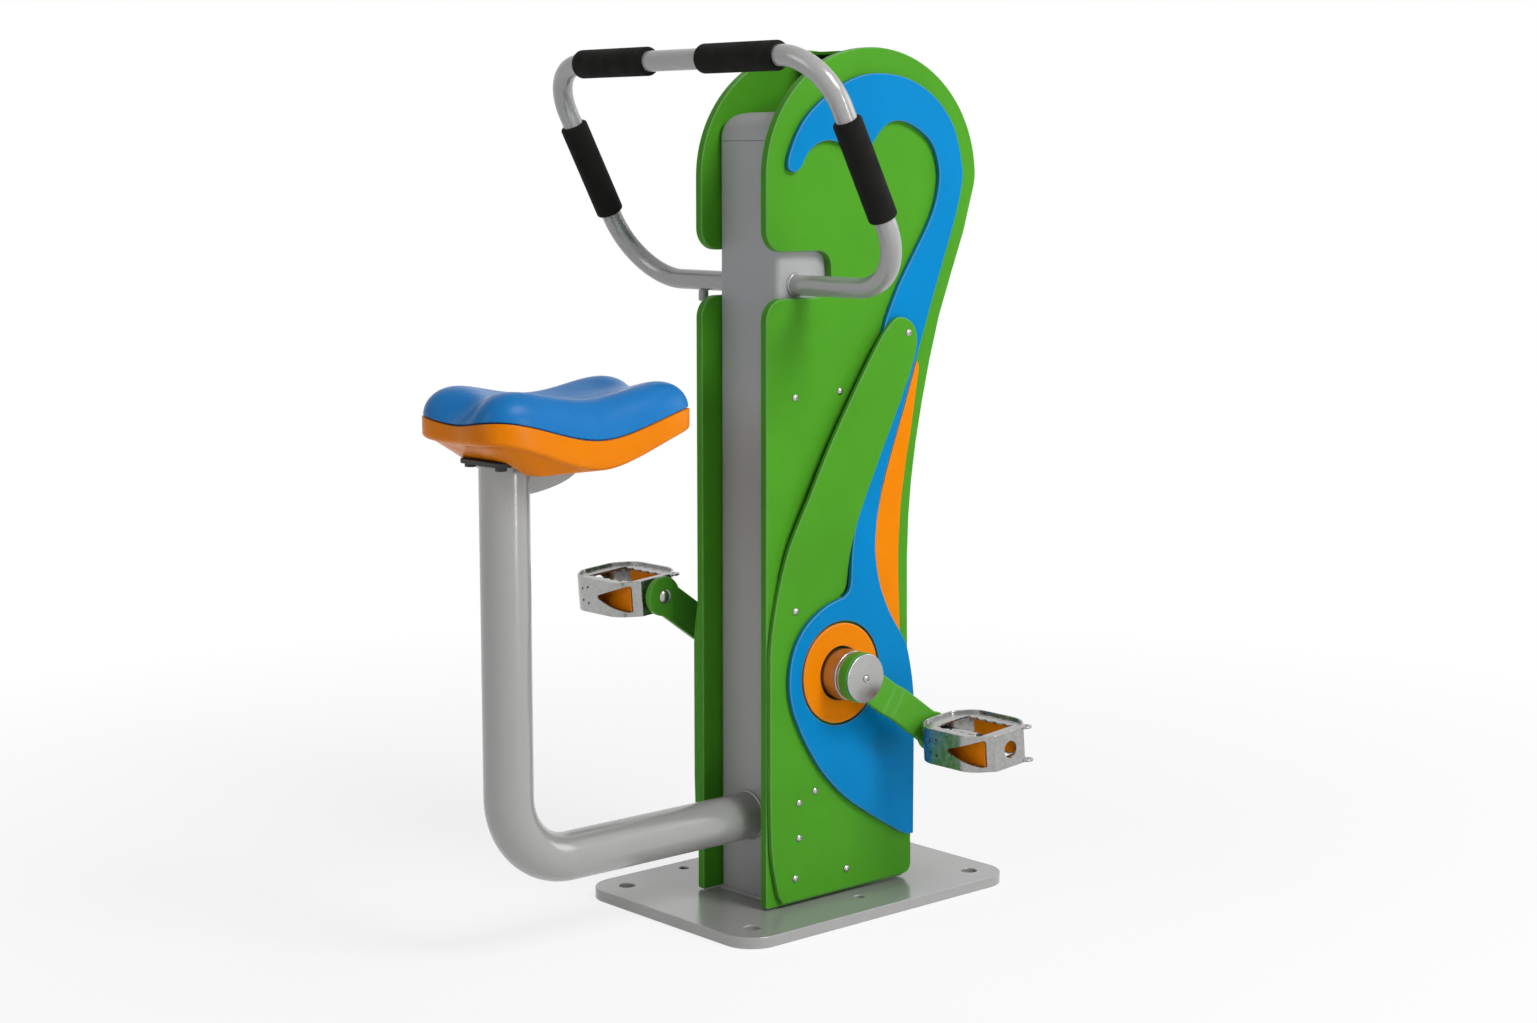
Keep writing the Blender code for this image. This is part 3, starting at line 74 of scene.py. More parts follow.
# Lamps: a name, a place, a width, a height and a power
LAMPS = (("key", (2.9, 0.4, 3.2), 1.5, 1.5, 96), ("strip", (3.4, 0.5, 0.9), 0.20, 1.6, 18),
         ("front", (-0.5, -4.0, 2.2), 2.0, 2.0, 26), ("back", (2.0, 3.5, 2.0), 1.8, 1.8, 24))
LAMP_TARGET = (0, 0, 0.55)
WORLD_LIGHT = 0.20
WHITE = (1, 1, 1, 1)

# Floor
FLOOR_RADIUS = 6.0
FLOOR_SIDES = 64
FLOOR_GAP = 0.0005
FLOOR_COLOUR = (0.93, 0.93, 0.93)
FLOOR_FADE_START = 0.7
FLOOR_FADE_END = 2.2
FLOOR_WHITE_SHARE = 0.80

# Fits and fineness
FIT = 0.0003
WELD = 0.000003
FINE_SIDES = 96
ROUND_SIDES = 64
SMALL_SIDES = 48
BOLT_SIDES = 32
TINY_SIDES = 24
TUBE_RESOLUTION = 10
ARC_STEPS = 12
PROFILE_STEPS = 4
FINE_STEPS = 5
GRIP_STEPS = 6
TURN_STEP = math.radians(4)
CORNER_ANGLE = math.radians(50)
STRAIGHT_ANGLE = math.radians(0.3)
LONG_EDGE_SHARE = 3
SHARP_ANGLE = math.radians(35)
FACING_SHARE = 0.5
EDGE_SEGMENTS = 3

# Sheets
SHEET_EDGE = 0.0022
PLATE_EDGE = 0.0015
LEAF_EDGE = 0.0012
WEAVE_LOW_Z = 0.4448
WEAVE_HIGH_Z = 0.5998
WEAVE_STRIPS = 20

# A flat outline is drawn in X and Y. This stands it up, with its X along Y and its Y along Z.
UPRIGHT = Matrix(((0, 0, 1, 0), (1, 0, 0, 0), (0, 1, 0, 0), (0, 0, 0, 1)))
TO_RIGHT = Matrix.Rotation(math.pi / 2, 4, "Y")
SIDES = (("right", 1), ("left", -1))


def across(node):
    """How far a node's near and far ends are from the middle plane."""
    return sorted(abs(corner.x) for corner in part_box(node))


def half_high(node):
    low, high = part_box(node)
    return (high.z - low.z) / 2


# Places that the frame gives
joints = {joint["name"]: joint for joint in frame["joints"]}
crank_place = Vector(joints["crank_spin"]["pos_m"])
pedal_places = {side: Vector(joints["pedal_%s_spin" % side]["pos_m"]) for side in ("right", "left")}
first_sheet_x, last_sheet_x = across("leaf_sheet_right")
sheet_step = last_sheet_x - first_sheet_x + FIT
half_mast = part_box("mast")[1].x


def lerp(start, end, share):
    return start + (end - start) * share


def step_between(value):
    """Zero below 0 and one above 1, with a smooth rise between."""
    value = min(1, max(0, value))
    return value * value * (3 - 2 * value)


def quarter(steps):
    """Evenly spaced angles over a quarter turn."""
    return [i / steps * math.pi / 2 for i in range(steps + 1)]


# Shading: the range that a noise mostly stays in, gloss shares, and the band of a sheet's rounded edge that
# gets a painted highlight
NOISE_LOW = 0.3
NOISE_HIGH = 0.7
SHEET_GLOSS = 0.06
SEAT_GLOSS = 0.12
FOAM_GLOSS = 0.10
HIGHLIGHT_FROM = 0.15
HIGHLIGHT_FULL = 0.70
HIGHLIGHT_TO = 0.985
EDGE_HIGHLIGHT = 0.13


def fill(tree, node, inputs):
    """Gives each listed input of a node its value, or a link from another node."""
    for socket, value in inputs.items():
        if isinstance(value, bpy.types.NodeSocket):
            tree.links.new(value, node.inputs[socket])
        else:
            node.inputs[socket].default_value = value
    return node


def add_node(tree, kind, inputs, **settings):
    node = tree.nodes.new("ShaderNode" + kind)
    for name, value in settings.items():
        setattr(node, name, value)
    return fill(tree, node, inputs)


def arithmetic(tree, operation, first, second=0):
    """One step of arithmetic."""
    return add_node(tree, "Math", {0: first, 1: second}, operation=operation).outputs["Value"]


class Shader:
    """A Principled material and short ways to add nodes to it."""

    def __init__(self, name, colour, roughness, metallic=0.0, gloss=0.5):
        self.material = bpy.data.materials.new(name)
        self.material.use_nodes = True
        self.tree = self.material.node_tree
        self.shader = self.tree.nodes["Principled BSDF"]
        fill(self.tree, self.shader, {"Metallic": metallic, "Specular IOR Level": gloss})
        self.colour = colour
        self.roughness = roughness
        self.place = self.add("TexCoord", {}).outputs["Object"]
        self.height = None

    def add(self, kind, inputs, **settings):
        return add_node(self.tree, kind, inputs, **settings)

    def noise(self, scale, detail=3.0, roughness=0.55, stretch=None):
        vector = self.place
        if stretch:
            vector = self.add("Mapping", {"Vector": vector, "Scale": stretch}).outputs["Vector"]
        inputs = {"Vector": vector, "Scale": scale, "Detail": detail, "Roughness": roughness}
        return self.add("TexNoise", inputs).outputs["Fac"]

    def spread(self, value, to_low=0.0, to_high=1.0, low=NOISE_LOW, high=NOISE_HIGH):
        """A value's range from low to high, spread over another range."""
        inputs = {"Value": value, "From Min": low, "From Max": high, "To Min": to_low, "To Max": to_high}
        return self.add("MapRange", inputs).outputs["Result"]

    def mixed(self, factor, first, second):
        """From the first colour to the second as the factor runs from 0 to 1."""
        ends = [(*end, 1) if isinstance(end, tuple) else end for end in (first, second)]
        return self.add("Mix", {"Factor": factor, 6: ends[0], 7: ends[1]}, data_type="RGBA").outputs[2]

    def tinted(self, factor, darker, lighter, low=NOISE_LOW, high=NOISE_HIGH):
        """The colour, darker and lighter by shares of it as the factor runs from low to high."""
        dark = tuple(part * (1 - darker) for part in self.colour)
        light = tuple(min(1, part * (1 + lighter)) for part in self.colour)
        return self.mixed(self.spread(factor, low=low, high=high), dark, light)

    def painted_edge_highlight(self, tone):
        """The tone, paler where a sheet's rounded edge turns away from its flat sides: a painted highlight
        along every rounded edge, whatever the lamps.
        """
        normal = self.add("NewGeometry", {}).outputs["Normal"]
        sideways = self.add("SeparateXYZ", {"Vector": normal}).outputs["X"]
        flat = arithmetic(self.tree, "ABSOLUTE", sideways)
        turned = self.spread(flat, low=HIGHLIGHT_FROM, high=HIGHLIGHT_FULL)
        back = self.spread(flat, low=HIGHLIGHT_TO, high=HIGHLIGHT_FULL)
        pale = tuple(lerp(part, 1, EDGE_HIGHLIGHT) for part in self.colour)
        return self.mixed(arithmetic(self.tree, "MULTIPLY", turned, back), tone, pale)

    def bump(self, value, depth, strength):
        inputs = {"Height": value, "Distance": depth, "Strength": strength}
        if self.height:
            inputs["Normal"] = self.height
        self.height = self.add("Bump", inputs).outputs["Normal"]

    def finish(self, colour, wear, smoother, rougher, high=NOISE_HIGH):
        """The material, its roughness led by the wear between two amounts round its own."""
        rough = self.spread(wear, self.roughness - smoother, self.roughness + rougher, high=high)
        inputs = {"Base Color": colour, "Roughness": rough}
        if self.height:
            inputs["Normal"] = self.height
        fill(self.tree, self.shader, inputs)
        return self.material


def sheet_plastic(name, colour):
    """Milled polyethylene sheet: faint haze in its colour, a fine pebbled skin, soft scuffs and a painted
    highlight along its rounded edges.
    """
    look = Shader(name, colour, roughness=0.36, gloss=SHEET_GLOSS)
    haze = look.tinted(look.noise(9, detail=4), darker=0.05, lighter=0.05)
    scuffs = look.noise(60, detail=5, roughness=0.65, stretch=(1, 1, 6))
    look.bump(look.noise(900, detail=2), depth=0.00008, strength=0.5)
    look.bump(look.noise(14, detail=2), depth=0.0006, strength=0.25)
    # The paler band on the rounded edges is a painted highlight.
    return look.finish(look.painted_edge_highlight(haze), scuffs, smoother=0.06, rougher=0.09)


def gloss_plastic(name, colour):
    """Moulded seat plastic: shiny, slightly wavy, with fine wear in its gloss."""
    look = Shader(name, colour, roughness=0.28, gloss=SEAT_GLOSS)
    haze = look.tinted(look.noise(6), darker=0.05, lighter=0.05)
    wear = look.noise(45, detail=6, roughness=0.7)
    look.bump(look.noise(700, detail=2), depth=0.00005, strength=0.4)
    look.bump(look.noise(22, detail=2), depth=0.0005, strength=0.3)
    return look.finish(haze, wear, smoother=0.05, rougher=0.12, high=0.75)


def powder_coat(name, colour, roughness, metallic, gloss):
    """Silver-grey powder coat: orange peel in its gloss and a fine metallic grain."""
    look = Shader(name, colour, roughness, metallic, gloss)
    grain = look.noise(1600, detail=2)
    look.bump(look.noise(420, detail=2), depth=0.0001, strength=0.55)
    flecks = look.tinted(grain, darker=0.07, lighter=0.06, low=0.35, high=0.65)
    cloud = look.spread(look.noise(7), to_high=0.5)
    return look.finish(look.mixed(cloud, flecks, colour), grain, smoother=0.05, rougher=0.07)


def bright_metal(name, colour):
    """Plated or polished steel with fine marks and a clouded shine."""
    look = Shader(name, colour, roughness=0.24, metallic=1)
    cloud = look.noise(60, detail=4)
    look.bump(look.noise(900), depth=0.00003, strength=0.15)
    return look.finish(look.tinted(cloud, darker=0.03, lighter=0.03), cloud, smoother=0.02, rougher=0.04)


def cast_metal(name, colour):
    """Blasted aluminium with a fine pitted skin."""
    look = Shader(name, colour, roughness=0.28, metallic=0.95)
    cloud = look.noise(150, detail=4)
    look.bump(look.noise(1400), depth=0.0001, strength=0.05)
    look.bump(look.noise(90), depth=0.0004, strength=0.15)
    return look.finish(look.tinted(cloud, darker=0.12, lighter=0.12), cloud, smoother=0.10, rougher=0.08)


def foam(name, colour):
    """Closed-cell foam: small cells and soft dents."""
    look = Shader(name, colour, roughness=0.82, gloss=FOAM_GLOSS)
    cells = look.add("TexVoronoi", {"Vector": look.place, "Scale": 1100}).outputs["Distance"]
    look.bump(cells, depth=0.0005, strength=0.6)
    look.bump(look.noise(55, detail=2), depth=0.001, strength=0.35)
    tone = look.tinted(look.spread(cells, low=0, high=0.5), darker=0.35, lighter=0.35)
    return look.finish(tone, look.noise(40, detail=4), smoother=0.1, rougher=0.1)


def rubber(name, colour):
    look = Shader(name, colour, roughness=0.6)
    grain = look.noise(500)
    look.bump(grain, depth=0.0001, strength=0.5)
    return look.finish(look.tinted(grain, darker=0.2, lighter=0.2), grain, smoother=0.1, rougher=0.1)


# Each material: how it's made, its name, its colour, and for a coat its roughness, metallic and gloss
PAINTS = (
    (sheet_plastic, "panel_green", (0.071, 0.315, 0.018)),
    (sheet_plastic, "swirl_blue", (0.000, 0.218, 0.530)),
    (sheet_plastic, "leaf_orange", (0.830, 0.228, 0.000)),
    (powder_coat, "crank_green", (0.085, 0.345, 0.026), 0.30, 0, 0.15),
    (gloss_plastic, "seat_blue", (0.012, 0.180, 0.500)),
    (gloss_plastic, "seat_orange", (0.800, 0.215, 0.000)),
    (powder_coat, "mast_grey", (0.400, 0.402, 0.405), 0.42, 0.1, 0.25),
    (powder_coat, "tube_grey", (0.380, 0.380, 0.375), 0.20, 0.2, 0.5),
    (cast_metal, "cage_grey", (0.370, 0.372, 0.365)),
    (foam, "foam_black", (0.008, 0.008, 0.007)),
    (bright_metal, "bright_steel", (0.430, 0.430, 0.420)),
    (rubber, "dark_rubber", (0.016, 0.016, 0.016)))
PAINT = {name: make(name, *settings) for make, name, *settings in PAINTS}


def show(name, data):
    """A new object in the scene."""
    item = bpy.data.objects.new(name, data)
    bpy.context.scene.collection.objects.link(item)
    return item


def add_piece(name, mesh, paint, body="frame", nodes=(), weighted=False):
    """A named piece with its material, on its body and in place of CAD nodes."""
    for face in mesh.polygons:
        face.material_index = 0
    mesh.materials.clear()
    mesh.materials.append(PAINT[paint])
    mesh.shade_smooth()
    mesh.set_sharp_from_angle(angle=SHARP_ANGLE)
    mesh.name = name
    piece = show(name, mesh)
    if weighted:
        normals = piece.modifiers.new("flat_faces", "WEIGHTED_NORMAL")
        normals.keep_sharp = True
    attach(piece, body)
    if nodes:
        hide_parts(*nodes)


def dress(node, mesh, paint, body="frame", weighted=False):
    """A piece in place of one CAD node, named after it."""
    add_piece(node + "_look", mesh, paint, body, [node], weighted)


def evaluated_mesh(item):
    """The final mesh of an object, which is then removed."""
    bpy.context.view_layer.update()
    mesh = bpy.data.meshes.new_from_object(item.evaluated_get(bpy.context.evaluated_depsgraph_get()))
    bpy.data.objects.remove(item)
    return mesh


def to_mesh(shape, name="piece"):
    mesh = bpy.data.meshes.new(name)
    bmesh.ops.recalc_face_normals(shape, faces=shape.faces)
    shape.to_mesh(mesh)
    shape.free()
    return mesh


def opened(*meshes, weld=False):
    """One editable shape from meshes."""
    shape = bmesh.new()
    for mesh in meshes:
        shape.from_mesh(mesh)
    if weld:
        bmesh.ops.remove_doubles(shape, verts=shape.verts, dist=WELD)
    return shape


def merged(meshes):
    return to_mesh(opened(*meshes))


def moved(mesh, matrix):
    copy = mesh.copy()
    copy.transform(matrix)
    if matrix.determinant() < 0:
        copy.flip_normals()
    return copy


def cut(mesh, other):
    """A closed mesh with another cut away from it."""
    tool = show("tool", other)
    item = show("item", mesh)
    step = item.modifiers.new("step", "BOOLEAN")
    step.operation = "DIFFERENCE"
    step.object = tool
    result = evaluated_mesh(item)
    bpy.data.objects.remove(tool)
    return result


def rounded_corner(before, at, after, radius, steps=ARC_STEPS):
    """Arc points that round the corner between two straight sides."""
    back = (before - at).normalized()
    onward = (after - at).normalized()
    half = back.angle(onward) / 2
    centre = at + (back + onward).normalized() * radius / math.sin(half)
    start = at + back * radius / math.tan(half) - centre
    end = at + onward * radius / math.tan(half) - centre
    sweep = start.angle_signed(end)
    return [centre + Matrix.Rotation(-sweep * i / steps, 2) @ start for i in range(steps + 1)]


def rounded_loop(points, radii, steps=ARC_STEPS):
    loop = []
    for i, (point, radius) in enumerate(zip(points, radii)):
        loop += rounded_corner(points[i - 1], point, points[(i + 1) % len(points)], radius, steps)
    return loop


def rounded_box(low_x, low_y, high_x, high_y, radius, steps=ARC_STEPS):
    """A rectangle with round corners."""
    spots = ((low_x, low_y), (high_x, low_y), (high_x, high_y), (low_x, high_y))
    return rounded_loop([Vector(spot) for spot in spots], [radius] * len(spots), steps)


def circle(centre, radius, sides=FINE_SIDES):
    return [Vector((centre[0] + radius * math.cos(i * math.tau / sides),
                    centre[1] + radius * math.sin(i * math.tau / sides))) for i in range(sides)]


def node_loops(node, side=1, axis=0):
    """The outlines of a sheet's outer face as flat points, the edge first and then its holes."""
    first, second = [i for i in range(3) if i != axis]
    shape = opened(frame["nodes"][node].data, weld=True)
    bmesh.ops.recalc_face_normals(shape, faces=shape.faces)
    away = [face for face in shape.faces if face.normal[axis] * side < FACING_SHARE]
    bmesh.ops.delete(shape, geom=away, context="FACES")
    left = {edge for edge in shape.edges if len(edge.link_faces) == 1}
    loops = []
    while left:
        edge = left.pop()
        start, at = edge.verts
        loop = [start, at]
        while at != start:
            edge = next(other for other in at.link_edges if other in left)
            left.remove(edge)
            at = edge.other_vert(at)
            loop.append(at)
        loops.append([Vector((vert.co[first], vert.co[second])) for vert in loop[:-1]])
    shape.free()
    return sorted(loops, key=lambda loop: -abs(area(loop)))


def area(loop):
    return sum(a.cross(b) for a, b in zip(loop, loop[1:] + loop[:1])) / 2


def turn(before, at, after):
    """How far a line turns at a point."""
    return (at - before).angle(after - at, 0)


def smoothed(loop):
    """The same closed outline with its bends drawn finely through its own points."""
    count = len(loop)
    points = [point for i, point in enumerate(loop)
              if turn(loop[i - 1], point, loop[(i + 1) % count]) > STRAIGHT_ANGLE]
    count = len(points)
    turns, tangents = [], []
    for i, point in enumerate(points):
        into, out = point - points[i - 1], points[(i + 1) % count] - point
        turns.append(into.angle(out))
        if turns[i] > CORNER_ANGLE:
            pair = (into, out)
        elif into.length > LONG_EDGE_SHARE * out.length:
            pair = (into, into)
        elif out.length > LONG_EDGE_SHARE * into.length:
            pair = (out, out)
        else:
            pair = (into / into.length_squared + out / out.length_squared,) * 2
        tangents.append([way.normalized() for way in pair])
    fine = []
    for i, start in enumerate(points):
        j = (i + 1) % count
        end, gap = points[j], (points[j] - start).length
        bend = sum(angle for angle in (turns[i], turns[j]) if angle < CORNER_ANGLE) / 2
        leave, arrive = tangents[i][1] * gap, tangents[j][0] * gap
        steps = max(1, math.ceil(bend / TURN_STEP))
        for step in range(steps):
            t = step / steps
            fine.append(start * (2 * t ** 3 - 3 * t ** 2 + 1) + leave * (t ** 3 - 2 * t ** 2 + t)
                        + end * (3 * t ** 2 - 2 * t ** 3) + arrive * (t ** 3 - t ** 2))
    return fine


def curve_mesh(loops, closed, ripple=0, **settings):
    """The mesh of a curve object: filled outlines, or a round bar along lines of points."""
    curve = bpy.data.curves.new("curve", "CURVE")
    for name, value in settings.items():
        setattr(curve, name, value)
    for loop in loops:
        spline = curve.splines.new("POLY")
        spline.points.add(len(loop) - 1)
        for i, (point, place) in enumerate(zip(spline.points, loop)):
            point.co = (*Vector(place).to_3d(), 1)
            point.radius = 1 + ripple * math.cos(i * math.pi)
        spline.use_cyclic_u = closed
    return evaluated_mesh(show("curve", curve))


def plate_mesh(loops, low, thick, edge=0):
    """A flat plate from closed outlines, its edges rounded and its size kept."""
    mesh = curve_mesh(loops, True, dimensions="2D", fill_mode="BOTH", extrude=thick / 2 - edge,
                      bevel_depth=edge, offset=-edge, bevel_resolution=EDGE_SEGMENTS)
    shape = opened(mesh, weld=True)
    shape.transform(Matrix.Translation((0, 0, low + thick / 2)))
    return to_mesh(shape)


def pipe_mesh(points, radius, resolution=TUBE_RESOLUTION):
    """A round bar along a line of points."""
    mesh = curve_mesh([points], False, dimensions="3D", bevel_depth=radius, bevel_resolution=resolution,
                      use_fill_caps=True)
    return to_mesh(opened(mesh, weld=True))


def weld_bead(points, radius):
    """A small rippled bead of weld along a closed line of points."""
    return curve_mesh([points], True, BEAD_RIPPLE, dimensions="3D", bevel_depth=radius,
                      bevel_resolution=BEAD_RESOLUTION)


def bent(mesh, axis, low, high, strips, lift):
    """The mesh cut into strips along an axis and moved along X by a function of the way through."""
    shape = opened(mesh)
    normal = Vector([1 if i == axis else 0 for i in range(3)])
    for i in range(strips + 1):
        bmesh.ops.bisect_plane(shape, geom=shape.verts[:] + shape.edges[:] + shape.faces[:], dist=WELD,
                               plane_co=normal * lerp(low, high, i / strips), plane_no=normal)
    for vert in shape.verts:
        vert.co.x += lift((vert.co[axis] - low) / (high - low))
    return to_mesh(shape)


def turned_mesh(profile, sides=FINE_SIDES, ring=False):
    """A solid turned about Z from (radius, height) points."""
    count = len(profile)
    edges = [(i, i + 1) for i in range(count - 1)]
    if ring:
        edges.append((count - 1, 0))
    line = bpy.data.meshes.new("profile")
    line.from_pydata([(radius, 0, height) for radius, height in profile], edges, [])
    item = show("profile", line)
    screw = item.modifiers.new("turn", "SCREW")
    screw.steps = sides
    screw.render_steps = sides
    screw.use_merge_vertices = True
    screw.merge_threshold = WELD
    return to_mesh(opened(evaluated_mesh(item)))


def profile(corners, steps=PROFILE_STEPS):
    """A turned profile with rounded corners, from (radius, height, rounding) points."""
    line = [Vector(corners[0][:2])]
    for before, at, after in zip(corners, corners[1:], corners[2:]):
        point = Vector(at[:2])
        if at[2]:
            line += rounded_corner(Vector(before[:2]), point, Vector(after[:2]), at[2], steps)
        else:
            line.append(point)
    return line + [Vector(corners[-1][:2])]


def ring_profile(outer, inner, low, high, round_low, round_high, steps=FINE_STEPS):
    """The profile of a round piece with a bore and rounded outer edges."""
    corners = ((inner, low, 0), (outer, low, round_low), (outer, high, round_high), (inner, high, 0))
    return profile(corners, steps)[::-1]


def rod_profile(radius, low, high):
    return [(0, high), (radius, high), (radius, low), (0, low)]


def loft_mesh(rings):
    """A closed body through rings of points, where a ring of one point closes an end."""
    shape = bmesh.new()
    rows = [[shape.verts.new(point) for point in ring] for ring in rings]
    for low, high in zip(rows, rows[1:]):
        count = max(len(low), len(high))
        for i in range(count):
            j = (i + 1) % count
            if len(low) == 1:
                shape.faces.new((low[0], high[j], high[i]))
            elif len(high) == 1:
                shape.faces.new((low[i], low[j], high[0]))
            else:
                shape.faces.new((low[i], low[j], high[j], high[i]))
    for row in (rows[0], rows[-1]):
        if len(row) > 1:
            shape.faces.new(row)
    return to_mesh(shape)


def sheet(node, side, low, thick, edge):
    """A standing sheet with a node's own outlines and rounded edges."""
    loops = [smoothed(loop) for loop in node_loops(node, side)]
    return moved(plate_mesh(loops, low, thick, edge), UPRIGHT)


def sheets():
    """The panels and discs, which are flat, and the sheets woven over them."""
    kinds = (("panel_sheet", "panel_green", SHEET_EDGE, None),
             ("leaf_sheet", "leaf_orange", LEAF_EDGE, None),
             ("hub_disc", "leaf_orange", SHEET_EDGE, None),
             ("swirl_sheet", "swirl_blue", SHEET_EDGE, lambda up: sheet_step * (1 - step_between(up))),
             ("tongue_sheet", "panel_green", SHEET_EDGE, lambda up: sheet_step * step_between(up)))
    for name, side in SIDES:
        for kind, paint, edge, lift in kinds:
            node = kind + "_" + name
            near, far = (first_sheet_x, last_sheet_x) if lift else across(node)
            mesh = sheet(node, side, near, far - near, edge)
            if lift:
                mesh = bent(mesh, 2, WEAVE_LOW_Z, WEAVE_HIGH_Z, WEAVE_STRIPS, lift)
            dress(node, moved(mesh, Matrix.Scale(side, 4, (1, 0, 0))), paint, weighted=True)


def base_plate():
    loops = [smoothed(loop) for loop in node_loops("base_plate", axis=2)]
    low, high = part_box("base_plate")
    dress("base_plate", plate_mesh(loops, low.z, high.z - low.z, PLATE_EDGE), "tube_grey", weighted=True)


# Mast and cap
MAST_CORNER_RADIUS = 0.008
MAST_FOOT_BEAD = 0.003
CAP_EDGE = 0.0008
CAP_LIP = 0.003
CAP_RINGS = 14
CAP_ROUND_POWER = 0.38


def square_ring(half, z, corner=MAST_CORNER_RADIUS):
    return [(point.x, point.y, z) for point in rounded_box(-half, -half, half, half, corner)]


def mast():
    low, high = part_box("mast")
    tube = loft_mesh([square_ring(half_mast, low.z), square_ring(half_mast, high.z)])
    add_piece("mast_tube", tube, "mast_grey", nodes=["mast"], weighted=True)
    line = square_ring(half_mast + MAST_FOOT_BEAD / 3, low.z + MAST_FOOT_BEAD / 2)
    add_piece("mast_foot_weld", weld_bead(line, MAST_FOOT_BEAD), "mast_grey")


def mast_cap():
    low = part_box("mast")[1].z + FIT
    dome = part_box("mast_cap")[1].z - low - CAP_LIP
    rings = [square_ring(half_mast - CAP_EDGE, low, MAST_CORNER_RADIUS - CAP_EDGE),
             square_ring(half_mast, low + CAP_EDGE)]
    for angle in quarter(CAP_RINGS)[:-1]:
        half = half_mast * math.cos(angle) ** CAP_ROUND_POWER
        z = low + CAP_LIP + dome * math.sin(angle)
        rings.append(square_ring(half, z, MAST_CORNER_RADIUS * half / half_mast))
    rings.append([(0, 0, low + CAP_LIP + dome)])
    dress("mast_cap", loft_mesh(rings), "mast_grey")


# Seat post and handlebar
POST_RADIUS = 0.0325
POST_RESOLUTION = 14
POST_RUN_Z = 0.133
POST_SEAT_Y = 0.470
POST_BEND_RADIUS = 0.095
BAR_RADIUS = 0.014
BAR_FOOT_Y = 0.027
BAR_FOOT_Z = 0.873
BAR_LEAN = math.radians(28)
BAR_HIGH = 0.336
BAR_HALF_WIDTH = 0.280
BAR_LOW_BEND = 0.100
BAR_TOP_BEND = 0.075
BEND_STEPS = 32
GRIP_THICK = 0.005
GRIP_ROUND = 0.0045
GRIP_LEG_LONG = 0.140
GRIP_LEG_START = 0.105
GRIP_TOP_LONG = 0.148
GRIP_TOP_START = 0.055
BEAD_RADIUS = 0.002
BEAD_RIPPLE = 0.12
BEAD_RESOLUTION = 2
POST_BEAD_POINTS = 60
BAR_BEAD_POINTS = 40

bar_up = Vector((0, -math.sin(BAR_LEAN), math.cos(BAR_LEAN)))
bar_foot = Vector((0, -BAR_FOOT_Y, BAR_FOOT_Z))


def arc_points(centre, first, second, radius):
    """A quarter bend about a centre, from one unit direction to another."""
    return [centre + (first * math.cos(angle) + second * math.sin(angle)) * radius
            for angle in quarter(BEND_STEPS)]


def bead_round(centre, along, radius, count):
    """A weld round a tube that runs along a direction."""
    lean = along.to_track_quat("Z", "X")
    ring = circle((0, 0), radius + BEAD_RADIUS / 3, count)
    return weld_bead([centre + lean @ spot.to_3d() for spot in ring], BEAD_RADIUS)


def seat_post():
    back, down = Vector((0, -1, 0)), Vector((0, 0, -1))
    start = Vector((0, -half_mast - FIT, POST_RUN_Z))
    centre = Vector((0, POST_BEND_RADIUS - POST_SEAT_Y, POST_RUN_Z + POST_BEND_RADIUS))
    top = Vector((0, -POST_SEAT_Y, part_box("seat_post")[1].z))
    points = [start] + arc_points(centre, down, back, POST_BEND_RADIUS) + [top]
    dress("seat_post", pipe_mesh(points, POST_RADIUS, POST_RESOLUTION), "tube_grey")
    beads = [bead_round(end + along * BEAD_RADIUS / 2, along, POST_RADIUS, POST_BEAD_POINTS)
             for end, along in ((start, back), (top, down))]
    add_piece("seat_post_welds", merged(beads), "tube_grey")


def handlebar():
    side = Vector((1, 0, 0))
    low_centre = bar_foot + side * (BAR_HALF_WIDTH - BAR_LOW_BEND) + bar_up * BAR_LOW_BEND
    top_centre = bar_foot + side * (BAR_HALF_WIDTH - BAR_TOP_BEND) + bar_up * (BAR_HIGH - BAR_TOP_BEND)
    half = [bar_foot + side * (half_mast + FIT)]
    half += arc_points(low_centre, -bar_up, side, BAR_LOW_BEND)
    half += arc_points(top_centre, side, bar_up, BAR_TOP_BEND)
    other = [Vector((-point.x, point.y, point.z)) for point in reversed(half)]
    add_piece("handlebar_look", pipe_mesh(half + other, BAR_RADIUS), "tube_grey", nodes=["handlebar_tube"])
    reach = side * (half_mast + BEAD_RADIUS / 2)
    beads = [bead_round(end, side, BAR_RADIUS, BAR_BEAD_POINTS)
             for end in (bar_foot - reach, bar_foot + reach)]
    add_piece("handlebar_welds", merged(beads), "tube_grey")


def grip_mesh(long):
    """A foam sleeve with rounded ends."""
    bore = BAR_RADIUS + FIT
    line = ring_profile(bore + GRIP_THICK, bore, 0, long, GRIP_ROUND, GRIP_ROUND, GRIP_STEPS)
    return turned_mesh(line, ROUND_SIDES, ring=True)


def outward(side):
    """The turn that lays an upright piece out to the right (1) or to the left (-1)."""
    return Matrix.Rotation(side * math.pi / 2, 4, "Y")


def grips():
    for name, side in SIDES:
        foot = bar_foot + Vector((side * BAR_HALF_WIDTH, 0, 0)) + bar_up * GRIP_LEG_START
        place = Matrix.Translation(foot) @ Matrix.Rotation(BAR_LEAN, 4, "X")
        dress("grip_leg_" + name, moved(grip_mesh(GRIP_LEG_LONG), place), "foam_black")
        start = bar_foot + bar_up * BAR_HIGH + Vector((side * GRIP_TOP_START, 0, 0))
        place = Matrix.Translation(start) @ outward(side)
        dress("grip_top_" + name, moved(grip_mesh(GRIP_TOP_LONG), place), "foam_black")


